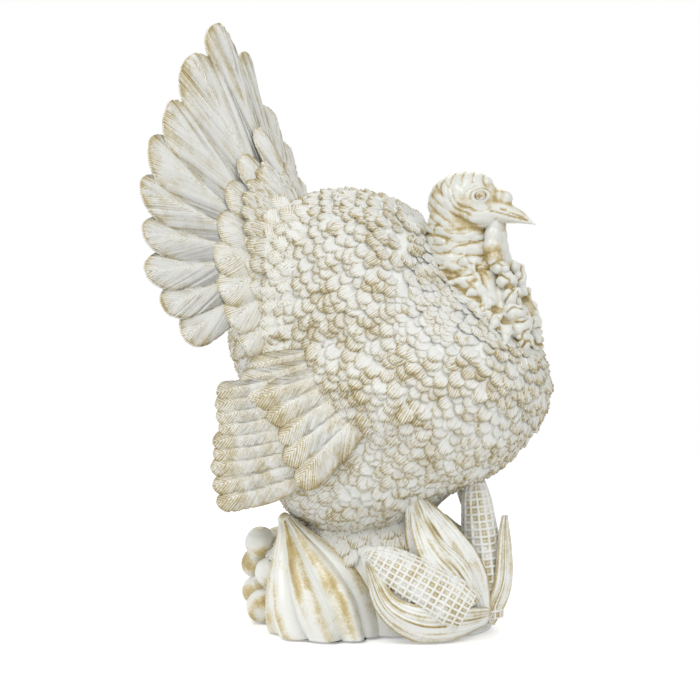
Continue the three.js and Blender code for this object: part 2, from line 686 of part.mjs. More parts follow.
function assembly() {
  const table = solidOf(new THREE.BoxGeometry(400, 400, 100).translate(0, 0, floorLevel - 50));
  const onTable = (solid) => solid.subtract(table);
  const figure = new THREE.Group();
  figure.name = "turkey_figure";
  const add = (name, solid, look) => figure.add(piece(name, solid, look));

  const fullBody = plumedBody();
  const neckAxis = sidePoint(NECK_SEAT_ANGLE, 1).sub(bodyMiddle);
  const ends = [-DOWEL_LENGTH / 2, DOWEL_LENGTH / 2];
  const dowelFrom = (middle, way) => ends.map((end) => middle.clone().addScaledVector(way, end));
  const neckDowel = bar(...dowelFrom(neckSeat, neckAxis), DOWEL_RADIUS, 10);
  const tailDowels = [-0.5, 0.5].map((side) => {
    const seat = tailRoot.clone().addScaledVector(tailUp, TAIL_ROOT_DEPTH);
    return bar(...dowelFrom(seat.setY(side * TAIL_DOWEL_SPACING), tailUp), DOWEL_RADIUS, 10);
  });
  const cavity = bodyShell(BODY_WALL, 14, 6);
  const pourHole = pourBar(POUR_HOLE_RADIUS, 0, BODY_LEVEL);
  add("body", fitted(fullBody.subtract(cavity).subtract(pourHole), neckDowel, ...tailDowels), PLUMAGE);
  const plugFrom = fullBody.boundingBox().min[2] + PLUG_THICKNESS * 0.7;
  add("pour_plug", pourBar(POUR_HOLE_RADIUS - BOND_GAP, plugFrom, plugFrom + PLUG_THICKNESS), BASE);
  add("neck_dowel", neckDowel, WOOD);
  add("tail_dowel_right", tailDowels[0], WOOD);
  add("tail_dowel_left", tailDowels[1], WOOD);

  const fullHead = neckAndHead();
  add("neck_and_head", fitted(fullHead, fullBody, neckDowel), SKIN);
  const lobe = wattle(-1);
  add("wattle_right", fitted(lobe, fullBody, fullHead), SKIN);
  add("wattle_left", fitted(mirrored(lobe), lobe, fullBody, fullHead), SKIN);

  const fullCore = tailCore();
  add("tail_core", fitted(fullCore, fullBody, ...tailDowels), PLUMAGE);
  const middleFeather = tailFeather(0);
  add("tail_feather_middle", fitted(middleFeather, fullCore), PLUMAGE);
  for (const [side, hand] of [["right", 1], ["left", -1]]) {
    let inner = middleFeather;
    for (let index = 1; index < TAIL_SHARES.length; index++) {
      const feather = tailFeather(hand * index);
      add(`tail_feather_${side}_${index}`, fitted(feather, inner, fullBody, fullCore), PLUMAGE);
      inner = feather;
    }
  }
  add("tail_coverts", fitted(tailCoverts(), fullBody, fullCore), PLUMAGE);

  for (const [side, hand] of [["right", (solid) => solid], ["left", mirrored]]) {
    const [shoulder, upper, lower] = [wingShoulder(), secondaries(), primaries()].map((solid) => hand(solid));
    add(`${side}_wing_shoulder`, fitted(shoulder, fullBody), PLUMAGE);
    add(`${side}_wing_secondaries`, fitted(upper, fullBody, shoulder), PLUMAGE);
    add(`${side}_wing_primaries`, fitted(lower, fullBody, shoulder, upper), PLUMAGE);
  }

  const seats = [fullBody];
  for (const [side, hand] of [["right", -1], ["left", 1]]) {
    add(`gourd_${side}`, fitted(onTable(gourd(hand, true)), fullBody), PRODUCE);
    seats.push(gourd(hand, false));
  }
  add("corn_standing", fitted(standingCob(true), fullBody), PRODUCE);
  add("corn_front", fitted(frontCob(true), fullBody, standingCob(false)), PRODUCE);
  seats.push(standingCob(false), frontCob(false));
  GRAPES.forEach((place, index) => {
    const full = grape(place);
    add(`grape_${index + 1}`, fitted(onTable(full), ...seats), PRODUCE);
    seats.push(full);
  });
  for (const [name, leaf] of Object.entries(HUSKS)) {
    const full = husk(leaf);
    add(name, fitted(onTable(full), ...seats), PRODUCE);
    seats.push(full);
  }
  add("plinth", fitted(mound(), ...seats), BASE);
  add("base_felt", felt(), FELT);
  return figure;
}

export default assembly();
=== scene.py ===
"""Looks of a turkey figure: cast resin, gilded, washed white and wiped back.

Sizes are millimetres until a mesh is written, which is in metres. The bird faces +X, +Z is up, and
the bird's right side, which the camera sees, is -Y.
"""

from __future__ import annotations

import json
import logging
import math
from collections.abc import Callable, Iterable, Sequence
from dataclasses import dataclass, fields, replace
from enum import Enum
from functools import partial
from typing import Any

import bpy
import numpy as np
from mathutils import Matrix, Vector

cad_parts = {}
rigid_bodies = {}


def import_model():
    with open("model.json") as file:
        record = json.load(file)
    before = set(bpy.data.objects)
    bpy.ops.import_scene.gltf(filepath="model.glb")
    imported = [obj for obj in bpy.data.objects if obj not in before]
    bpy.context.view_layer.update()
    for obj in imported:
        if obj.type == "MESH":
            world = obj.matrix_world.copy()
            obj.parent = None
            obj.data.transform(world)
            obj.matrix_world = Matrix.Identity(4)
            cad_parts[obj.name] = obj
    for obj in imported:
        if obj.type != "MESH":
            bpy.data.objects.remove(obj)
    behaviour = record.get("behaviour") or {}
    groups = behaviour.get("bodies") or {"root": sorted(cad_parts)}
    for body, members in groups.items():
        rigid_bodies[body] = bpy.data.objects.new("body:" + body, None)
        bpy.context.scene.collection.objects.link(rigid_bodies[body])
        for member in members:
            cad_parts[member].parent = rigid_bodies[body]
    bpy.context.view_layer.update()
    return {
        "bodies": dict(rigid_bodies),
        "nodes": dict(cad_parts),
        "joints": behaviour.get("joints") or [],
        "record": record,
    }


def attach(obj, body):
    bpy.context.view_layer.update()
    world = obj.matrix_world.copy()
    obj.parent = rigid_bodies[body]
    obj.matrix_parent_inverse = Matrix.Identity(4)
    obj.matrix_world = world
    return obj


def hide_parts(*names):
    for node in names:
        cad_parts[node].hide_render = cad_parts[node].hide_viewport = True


LOG = logging.getLogger("turkey_figure")
MM = 0.001

Array = np.ndarray
Place = tuple[float, float, float]
Spot = tuple[float, float]
Bead = tuple[float, float, float, float]

ACROSS = np.array([0.0, 1.0, 0.0])
HEAD_MIDDLE = (53, 0, 242)
GLUE_LINE = 1.35
# Plane waves in a random field, points round a tube and the gilt of a plain form
WAVES = 10
TUBE_POINTS = 32
PLAIN = 0.4


class Slot(Enum):
    """Material slots of the record."""

    PLUMAGE = "resin_plumage"
    SKIN = "resin_skin"
    PRODUCE = "resin_produce"
    BASE = "resin_base"


class Zone(Enum):
    """Zones of the body's coat of scales."""

    CAPE = "cape"
    BREAST = "breast"
    BACK = "back"


class Side(Enum):
    """Sides of the bird, as the sign of Y."""

    RIGHT = -1
    LEFT = 1

    @property
    def word(self) -> str:
        """Name of the side, as the nodes spell it."""
        return self.name.lower()


# Number helpers


def unit(ways: Array) -> Array:
    """Ways at length one."""
    return ways / np.linalg.norm(ways, axis=-1, keepdims=True)


def mix(start: Any, end: Any, share: Any) -> Any:
    """Value at a share of the way from one value to another."""
    return start + (end - start) * share


def smooth(value: Any, low: float = 0.0, high: float = 1.0) -> Any:
    """Soft step from 0 to 1 between two levels."""
    share = np.clip((value - low) / (high - low), 0, 1)
    return share * share * (3 - 2 * share)


def bell(value: Any, middle: Any, width: float) -> Any:
    """Bell curve: 1 at its middle and 0 well away from it."""
    return np.exp(-(((value - middle) / width) ** 2))


def curved(a: Array, b: Array, c: Array, d: Array, f: Array) -> Array:
    """Value at a share f of the way from b to c, on a smooth curve through a, b, c and d."""
    return b + 0.5 * f * (c - a + f * (2 * a - 5 * b + 4 * c - d + f * (3 * (b - c) + d - a)))


def spline(knots: Sequence[Sequence[float]], shares: Array) -> Array:
    """Smooth curve through knots.

    Args:
        knots: Places that the curve passes through.
        shares: Shares of the way along it, from 0 to 1.

    Returns:
        One place for each share.
    """
    points = np.asarray(knots, float)
    points = np.vstack([2 * points[0] - points[1], points, 2 * points[-1] - points[-2]])
    spans = len(points) - 3
    at = np.clip(np.asarray(shares, float), 0, 1) * spans
    first = np.minimum(at.astype(int), spans - 1)
    return curved(*(points[first + k] for k in range(4)), (at - first)[:, None])


def walked(line: Array) -> Array:
    """Distance along a line of places to each of them."""
    return np.concatenate([[0], np.cumsum(np.linalg.norm(np.diff(line, axis=0), axis=1))])


def tipped(angle: float) -> tuple[Array, Array]:
    """Ways ahead and up in the middle plane, tipped back by an angle in degrees."""
    cosine, sine = math.cos(math.radians(angle)), math.sin(math.radians(angle))
    return np.array([cosine, 0.0, sine]), np.array([-sine, 0.0, cosine])


def flattened(way: Array, out: Array) -> Array:
    """A way laid flat on surfaces that look out."""
    return unit(way - (out @ way)[..., None] * out)


def round_turn(count: int) -> Array:
    """Angles at even steps round a full turn, as a row."""
    return np.linspace(0, 2 * np.pi, count, endpoint=False)[None, :]


def ripple(points: Array, size: float, seed: int) -> Array:
    """Smooth random field.

    Args:
        points: Places to read it at.
        size: Width of one lump.
        seed: Picks the field.

    Returns:
        Values from about -1 to 1.
    """
    rng = np.random.default_rng(seed)
    ways = unit(rng.normal(size=(WAVES, points.shape[1]))) * rng.uniform(0.6, 1.4, (WAVES, 1))
    turns = rng.uniform(0, 2 * np.pi, WAVES)
    return np.sin(points @ ways.T * (np.pi / size) + turns).sum(1) / math.sqrt(WAVES)


def sheet_ripple(across: Array, along: Array, size: float, seed: int) -> Array:
    """Smooth random field over a sheet, at a row of places across it and a column along it."""
    sheet = np.stack(np.broadcast_arrays(across, along), -1)
    return ripple(sheet.reshape(-1, 2), size, seed).reshape(sheet.shape[:2])


def pleats(place: Array, pitch: float) -> Array:
    """Round folds with sharp valleys, at an even pitch."""
    return np.abs(np.sin(place * np.pi / pitch)) ** 0.5 - 0.7


def crumples(points: Array, size: float, seed: int) -> Array:
    """Round folds with sharp valleys, at random."""
    return np.minimum(np.abs(ripple(points, size, seed)), 0.9) ** 0.6 - 0.6


# Meshes


def linked(name: str, data: bpy.types.ID) -> bpy.types.Object:
    """Put data into the scene.

    Args:
        name: Name of the new object.
        data: Mesh, lamp or camera that it shows.

    Returns:
        The object.
    """
    made = bpy.data.objects.new(name, data)
    bpy.context.scene.collection.objects.link(made)
    return made


def shaped(made: bpy.types.Object) -> bpy.types.Mesh:
    """New mesh of an object, with its modifiers applied."""
    return bpy.data.meshes.new_from_object(made.evaluated_get(bpy.context.evaluated_depsgraph_get()))


def add_layers(mesh: bpy.types.Mesh, kind: str, field: str, **layers: Array) -> None:
    """Give a mesh's points named values.

    Args:
        mesh: The mesh.
        kind: Blender's name for the type of value.
        field: Blender's name for the value.
        layers: Values of each point, by name.
    """
    for label, values in layers.items():
        layer = mesh.attributes.new(label, kind, "POINT")
        layer.data.foreach_set(field, np.ascontiguousarray(values, np.float32).ravel())


@dataclass
class Surface:
    """Closed mesh in the making.

    Attributes:
        points: Places in millimetres.
        quads: Corner numbers of the four-sided faces.
        tris: Corner numbers of the three-sided faces.
        gilt: How much gold each point shows, from 0 in a washed hollow to 1 on a wiped edge.
        fan: Place of each point across its scale, from -1 to 1.
    """

    points: Array
    quads: Array
    tris: Array
    gilt: Array
    fan: Array

    @property
    def corners(self) -> Array:
        """Corner numbers of all the faces, cut into triangles."""
        return np.vstack([self.tris, self.quads[:, :3], self.quads[:, [0, 2, 3]]])

    def mapped(self, place: Callable[[Array], Array]) -> Surface:
        """The surface with its points put elsewhere."""
        return replace(self, points=place(self.points)).outwards()

    def moved(self, by: Sequence[float]) -> Surface:
        """The surface at another place."""
        return self.mapped(lambda points: points + np.array(by))

    def mirrored(self) -> Surface:
        """Mirror image on the bird's other side."""
        return self.mapped(lambda points: points * np.array([1.0, -1.0, 1.0]))

    def on(self, side: Side) -> Surface:
        """The surface, which was made for the bird's right, on a side."""
        return self.mirrored() if side is Side.LEFT else self

    def raised(self, height: Array) -> Surface:
        """The surface with each point moved out by its height."""
        return replace(self, points=self.points + normals(self) * height[:, None])

    def outwards(self) -> Surface:
        """Turn the faces round if they look in.

        Returns:
            The surface with its faces looking out.
        """
        corners = self.corners
        a, b, c = (self.points[corners[:, k]] - self.points.mean(0) for k in range(3))
        if np.einsum("ij,ij->", a, np.cross(b, c)) >= 0:
            return self
        return replace(self, quads=self.quads[:, ::-1], tris=self.tris[:, ::-1])

    def written(self, name: str) -> bpy.types.Object:
        """Blender object of the surface, in metres.

        Args:
            name: Name of the object and of its mesh.

        Returns:
            The new object, linked to the scene.
        """
        mesh = bpy.data.meshes.new(name)
        mesh.from_pydata((self.points * MM).tolist(), [], self.quads.tolist() + self.tris.tolist())
        add_layers(mesh, "FLOAT", "value", gilt=self.gilt, fan=self.fan)
        mesh.shade_smooth()
        return linked(name, mesh)


def skin(rings: Array, gilt: Array | float, fan: Array | float = 0.0) -> Surface:
    """Closed surface over rings of points, with both ends closed.

    Args:
        rings: Places by ring and by point round the ring.
        gilt: Gold that shows, one value or one for each place.
        fan: Place across a scale, one value or one for each place.

    Returns:
        The surface, looking out.
    """
    rows, columns = rings.shape[:2]
    index = np.arange(rows * columns).reshape(rows, columns)
    after = np.roll(index, -1, axis=1)
    quads = np.stack([index[:-1], after[:-1], after[1:], index[1:]], -1).reshape(-1, 4)
    first, last = rows * columns, rows * columns + 1
    start = np.stack([np.full(columns, first), after[0], index[0]], -1)
    end = np.stack([np.full(columns, last), index[-1], after[-1]], -1)
    points = np.vstack([rings.reshape(-1, 3), rings[0].mean(0), rings[-1].mean(0)])
    layers = []
    for values in (gilt, fan):
        full = np.broadcast_to(values, (rows, columns))
        layers.append(np.concatenate([full.ravel(), [full[0].mean(), full[-1].mean()]]))
    return Surface(points, quads, np.vstack([start, end]), *layers).outwards()


def merged(surfaces: Iterable[Surface]) -> Surface:
    """Several surfaces as one.

    Args:
        surfaces: The surfaces.

    Returns:
        One surface, with its parts in the order given.
    """
    parts = list(surfaces)
    starts = np.cumsum([0] + [len(part.points) for part in parts[:-1]])
    moved = [replace(p, quads=p.quads + start, tris=p.tris + start) for p, start in zip(parts, starts)]
    return Surface(*(np.concatenate([getattr(p, f.name) for p in moved]) for f in fields(Surface)))


def ball(middle: Sequence[float], halves: Sequence[float], rows: int = 16, columns: int = 24) -> Surface:
    """Ellipsoid.

    Args:
        middle: Its middle.
        halves: Half sizes along X, Y and Z.
        rows: Rings of points from top to bottom.
        columns: Points round a ring.

    Returns:
        The closed surface.
    """
    down = np.linspace(0.04, np.pi - 0.04, rows)[:, None]
    turn = round_turn(columns)
    x, y, z = np.sin(down) * np.cos(turn), np.sin(down) * np.sin(turn), np.cos(down) + 0 * turn
    return skin(np.stack([x, y, z], -1) * np.asarray(halves) + np.asarray(middle), PLAIN)


def tube(spine: Array, depth: Array, width: Array) -> Surface:
    """Oval tube round a curve in, or beside, the bird's middle plane.

    Args:
        spine: Places along the curve.
        depth: Half depth at each place.
        width: Half width at each place.

    Returns:
        The closed tube.
    """
    front = unit(np.cross(ACROSS, unit(np.gradient(spine, axis=0))))
    turn = round_turn(TUBE_POINTS)[..., None]
    rings = spine[:, None] + front[:, None] * depth[:, None, None] * np.cos(turn)
    return skin(rings + ACROSS * width[:, None, None] * np.sin(turn), PLAIN)


def turned(base: Array, tip: Array, radius: Array, gilt: Array) -> Surface:
    """Solid of turning about a slanted axis.

    Args:
        base: Foot of the axis.
        tip: Head of the axis.
        radius: Radii by height and by turn.
        gilt: Gold by height and by turn.

    Returns:
        The closed surface.
    """
    rows, columns = radius.shape
    axis = tip - base
    way = unit(axis)
    east = unit(np.cross(way, ACROSS))
    turn = round_turn(columns)[..., None]
    heights = np.linspace(0, 1, rows)[:, None, None]
    spokes = np.cos(turn) * east + np.sin(turn) * np.cross(way, east)
    return skin(base + heights * axis + radius[..., None] * spokes, gilt)


def profile(shape: Sequence[Spot], up: Array, rounds: int) -> Array:
    """Radii up a turned form, as shares.

    Args:
        shape: Heights and radii that it passes through.
        up: Heights to read it at.
        rounds: Rounds of rubbing its corners off.

    Returns:
        One radius for each height.
    """
    radii = np.interp(up, *zip(*shape))
    for _ in range(rounds):
        radii[1:-1] = 0.25 * radii[:-2] + 0.5 * radii[1:-1] + 0.25 * radii[2:]
    return radii


def on_table(form: Surface) -> Surface:
    """The form with nothing under the table's glue line."""
    return form.mapped(lambda points: np.column_stack([points[:, :2], np.maximum(points[:, 2], GLUE_LINE)]))


def fused(surfaces: Iterable[Surface], voxel: float, soften: int, name: str) -> Surface:
    """Several forms run together into one skin, as a sculptor blends clay.

    Args:
        surfaces: The forms.
        voxel: Size of the new faces.
        soften: Rounds of smoothing.
        name: Name of the working object.

    Returns:
        The skin, with no gold on it yet.
    """
    clay = merged(surfaces).written(name)
    blend = clay.modifiers.new("blend", "REMESH")
    blend.mode = "VOXEL"
    blend.voxel_size = voxel * MM
    rub = clay.modifiers.new("rub", "SMOOTH")
    rub.iterations = soften
    rub.factor = 0.5
    mesh = shaped(clay)
    points = np.empty(len(mesh.vertices) * 3, np.float32)
    mesh.vertices.foreach_get("co", points)
    faces = [list(face.vertices) for face in mesh.polygons]
    quads, tris = (np.array([f for f in faces if len(f) == n], int).reshape(-1, n) for n in (4, 3))
    bpy.data.objects.remove(clay)
    bpy.data.meshes.remove(mesh)
    places = points.reshape(-1, 3).astype(float) / MM
    blank = np.zeros(len(places))
    return Surface(places, quads, tris, blank, blank).outwards()


def normals(surface: Surface) -> Array:
    """Ways that a surface looks.

    Args:
        surface: Mesh to read.

    Returns:
        One way for each point.
    """
    corners = surface.corners
    a, b, c = (surface.points[corners[:, k]] for k in range(3))
    across = np.cross(b - a, c - a)
    total = np.zeros_like(surface.points)
    for k in range(3):
        np.add.at(total, corners[:, k], across)
    return unit(total + 1e-12)


def crests(surface: Surface, rounds: int) -> Array:
    """How far each point stands out from those round it.

    Args:
        surface: Mesh to read.
        rounds: Rounds of spreading, more for broader forms.

    Returns:
        Heights in millimetres, positive on crests.
    """
    edges = np.vstack([surface.quads[:, [k, (k + 1) % 4]] for k in range(4)])
    count = np.bincount(edges.ravel(), minlength=len(surface.points))[:, None]
    mean = surface.points
    for _ in range(rounds):
        total = np.zeros_like(mean)
        np.add.at(total, edges[:, 0], mean[edges[:, 1]])
        np.add.at(total, edges[:, 1], mean[edges[:, 0]])
        mean = total / np.maximum(count, 1)
    return np.einsum("ij,ij->i", normals(surface), surface.points - mean)


# Finishes


def linear(code: str) -> tuple[float, float, float, float]:
    """Linear colour of an sRGB hex code.

    Args:
        code: The code, as #rrggbb.

    Returns:
        Red, green, blue and alpha.
    """
    shares = [int(code[k : k + 2], 16) / 255 for k in (1, 3, 5)]
    red, green, blue = (v / 12.92 if v <= 0.04045 else ((v + 0.055) / 1.055) ** 2.4 for v in shares)
    return red, green, blue, 1.0


def add_node(
    tree: bpy.types.NodeTree, kind: str, inputs: dict[str | int, Any] | None = None, **settings: Any
) -> bpy.types.Node:
    """Add a node.

    Args:
        tree: Tree that gets it.
        kind: Blender's name for the node.
        inputs: Values, or sockets to link, by input.
        settings: The node's own settings.

    Returns:
        The new node.
    """
    made = tree.nodes.new(kind)
    for label, value in settings.items():
        setattr(made, label, value)
    for label, value in (inputs or {}).items():
        if isinstance(value, bpy.types.NodeSocket):
            tree.links.new(value, made.inputs[label])
        else:
            made.inputs[label].default_value = value
    return made


class Finish:
    """Finish that makes its material once."""

    name: str

    def material(self) -> bpy.types.Material:
        """The finish's material, made at its first use.

        Returns:
            The material.
        """
        known = bpy.data.materials.get(self.name)
        if known is not None:
            return known
        made = bpy.data.materials.new(self.name)
        made.use_nodes = True
        made.node_tree.nodes.clear()
        shader = self.shade(made.node_tree)
        add_node(made.node_tree, "ShaderNodeOutputMaterial", {"Surface": shader.outputs[0]})
        return made

    def shade(self, tree: bpy.types.NodeTree) -> bpy.types.Node:
        """Add the finish's nodes and return its shader."""
        raise NotImplementedError


@dataclass(frozen=True)
class WashedResin(Finish):
    """Cast polyresin, gilded, then washed white and wiped back.

    It gives the eye a chalky white that stays in the hollows, and satin gold on edges and crests.

    Attributes:
        name: Name of the material.
        wash: Colour of the white wash.
        gold: Colour of the gold under a thin veil of wash.
        deep: Colour of the gold where it was wiped bare.
        bare: Level of the gilt at which the gold is half showing.
        spread: Softness of the wash's border.
        patch: Width of a wiped patch in millimetres.
        mark: Width of a brush mark in millimetres.
        wipe: How much the wiping differs from patch to patch.
        rough: Roughness of the wash and of the gold.
        coat: Clear gloss over all of it.
        barbs: Fine lines across a scale.
        grain: Height of the casting's fine grain in millimetres.
    """

    name: str
    wash: str = "#ebece8"
    gold: str = "#c4b68c"
    deep: str = "#927d49"
    bare: float = 0.6
    spread: float = 0.3
    patch: float = 9.0
    mark: float = 1.3
    wipe: float = 1.1
    rough: Spot = (0.62, 0.42)
    coat: float = 0.0
    barbs: float = 0.0
    grain: float = 0.12

    def shade(self, tree: bpy.types.NodeTree) -> bpy.types.Node:
        """Add the finish's nodes.

        Args:
            tree: The material's tree.

        Returns:
            The shader.
        """
        node = partial(add_node, tree)
        here = node("ShaderNodeTexCoord").outputs["Object"]
        noise = []
        for size, detail in ((self.patch, 3.0), (self.mark, 2.0)):
            pattern = {"Vector": here, "Scale": 1 / (size * MM), "Detail": detail}
            noise.append(node("ShaderNodeTexNoise", pattern).outputs["Fac"])
        patches, marks = noise
        gilt, fan = (node("ShaderNodeAttribute", attribute_name=n).outputs["Fac"] for n in ("gilt", "fan"))
        turns = node("ShaderNodeMath", {0: fan, 1: self.barbs * np.pi}, operation="MULTIPLY")
        lines = node("ShaderNodeMath", {0: turns.outputs[0]}, operation="SINE").outputs[0]
        level = gilt
        for part, weight, middle in ((patches, self.wipe, 0.5), (marks, 0.6, 0.5), (lines, 0.2, 0.0)):
            shift = -weight * middle
            scaled = node("ShaderNodeMath", {0: part, 1: weight, 2: shift}, operation="MULTIPLY_ADD")
            level = node("ShaderNodeMath", {0: level, 1: scaled.outputs[0]}, operation="ADD").outputs[0]
        shares = []
        for low, high in (
            (self.bare - self.spread, self.bare + self.spread),
            (self.bare + 0.1, self.bare + 0.1 + 2 * self.spread),
        ):
            step = {"Value": level, "From Min": low, "From Max": high}
            shares.append(node("ShaderNodeMapRange", step, interpolation_type="SMOOTHSTEP").outputs[0])
        colour = linear(self.wash)
        for share, gold in zip(shares, (self.gold, self.deep)):
            tones = {"Factor": share, 6: colour, 7: linear(gold)}
            colour = node("ShaderNodeMix", tones, data_type="RGBA").outputs[2]
        rough = node("ShaderNodeMix", {"Factor": shares[0], 2: self.rough[0], 3: self.rough[1]})
        height = node("ShaderNodeMath", {0: lines, 1: 0.6, 2: marks}, operation="MULTIPLY_ADD")
        relief = {"Height": height.outputs[0], "Strength": 0.8, "Distance": self.grain * MM}
        looks = {
            "Base Color": colour, "Roughness": rough.outputs[0],
            "Normal": node("ShaderNodeBump", relief).outputs[0], "IOR": 1.5, "Coat Weight": self.coat,
            "Coat Roughness": 0.16,
        }
        return node("ShaderNodeBsdfPrincipled", looks)


@dataclass(frozen=True)
class Fibrous(Finish):
    """Plain matt stuff in two tones, mottled by its fibres.

    Attributes:
        name: Name of the material.
        dark: Colour between the fibres.
        light: Colour of the fibres.
        fibre: Width of a fibre in millimetres.
        drawn: How much shorter the pattern is along X, Y and Z.
        detail: Finer levels in the pattern.
        rough: Roughness.
        relief: Strength of the fibres' relief, and its height in millimetres.
    """

    name: str
    dark: str
    light: str
    fibre: float
    drawn: Place
    detail: float
    rough: float
    relief: Spot

    def shade(self, tree: bpy.types.NodeTree) -> bpy.types.Node:
        """Add the finish's nodes.

        Args:
            tree: The material's tree.

        Returns:
            The shader.
        """
        node = partial(add_node, tree)
        here = node("ShaderNodeTexCoord").outputs["Object"]
        drawn = node("ShaderNodeMapping", {"Vector": here, "Scale": self.drawn}).outputs[0]
        pattern = {"Vector": drawn, "Scale": 1 / (self.fibre * MM), "Detail": self.detail}
        pile = node("ShaderNodeTexNoise", pattern).outputs["Fac"]
        tones = {"Factor": pile, 6: linear(self.dark), 7: linear(self.light)}
        colour = node("ShaderNodeMix", tones, data_type="RGBA").outputs[2]
        strength, height = self.relief
        bump = node("ShaderNodeBump", {"Height": pile, "Strength": strength, "Distance": height * MM})
        looks = {"Base Color": colour, "Roughness": self.rough, "Normal": bump.outputs[0]}
        return node("ShaderNodeBsdfPrincipled", looks)


POLISHED = (0.3, 0.26)
SATIN = (0.42, 0.34)
QUILL = WashedResin("washed_resin_quills", bare=0.74, spread=0.36, patch=14.0, barbs=160.0)
SCALE = WashedResin(
    "washed_resin_scales", bare=0.66, spread=0.32, patch=11.0, wipe=1.6, barbs=9.0, grain=0.16
)
# Painted light: the belly's last scales lie in the shade under the belly, so they get less gold and read
# lighter
BELLY_PAINTED_LIGHT = replace(SCALE, name="washed_resin_belly", bare=0.8)
CAPE = replace(SCALE, name="washed_resin_cape", bare=0.86)
PINION = WashedResin("washed_resin_pinion", bare=0.45, spread=0.34, barbs=160.0)
# Skin and rinds were left smooth and polished, so they shine
SKIN = WashedResin(
    "washed_resin_skin", "#dadbd4", "#bba873", "#87713a", 0.5, 0.36, rough=POLISHED, coat=0.6, grain=0.06
)
RIND = WashedResin(
    "washed_resin_rind", "#e6e7e1", "#c8b680", "#9a8142", 0.54, 0.38, rough=POLISHED, coat=0.5, grain=0.05
)
HUSK = WashedResin("washed_resin_husk", bare=0.52, spread=0.34, rough=SATIN, coat=0.1, grain=0.06)
CORN = WashedResin("washed_resin_corn", bare=0.62, spread=0.3, rough=SATIN, coat=0.15, grain=0.05)
STONE = WashedResin("washed_resin_plinth", bare=0.78, spread=0.3, rough=(0.55, 0.42), patch=12.0)
# Pressed wool felt: a mottled pile with no gloss
FELT = Fibrous("pressed_felt", "#5d5c57", "#7d7b74", 0.8, (1, 1, 1), 4.0, 0.95, (0.7, 0.3))
# Turned beech: pale wood with fine grain along the dowel
BEECH = Fibrous("turned_beech", "#a97f4e", "#c9a672", 1.2, (1, 1, 0.15), 3.0, 0.6, (0.4, 0.1))


# Pieces


class SubAssembly:
    """Group of pieces that are built and dressed together."""

    def build(self) -> None:
        """Make the group's pieces."""
        raise NotImplementedError

    @staticmethod
    def dress(made: bpy.types.Object, finish: Finish, slot: Slot, *nodes: str) -> None:
        """Give an object its material, its body and the solids that it stands for.

        Args:
            made: Finished object.
            finish: Its finish.
            slot: Its slot in the record. Not used.
            nodes: CAD nodes that it replaces.
        """
        made.data.materials.clear()
        made.data.materials.append(finish.material())
        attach(made, "root")
        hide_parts(*nodes)
        LOG.info("%s: %d faces, for %s", made.name, len(made.data.polygons), ", ".join(nodes))

    def cast(self, node: str, form: Surface, finish: Finish, slot: Slot) -> None:
        """Write and dress the surface that stands for one node."""
        self.dress(form.written(f"{node}_cast"), finish, slot, node)


# Feathers

VANE_SHARES = np.array([0.05, 0.13, 0.3, 0.5, 0.7, 0.88, 1.0])
# The back of a feather: columns of the vanes that it runs under, and its depth there
VANE_EDGE, VANE_MIDDLE = -1, 3
BACK_DEPTHS = (0.5, 1, 1.4, 1, 0.5)
# The finish rules its barbs by this length
BARB_RULE = 100.0


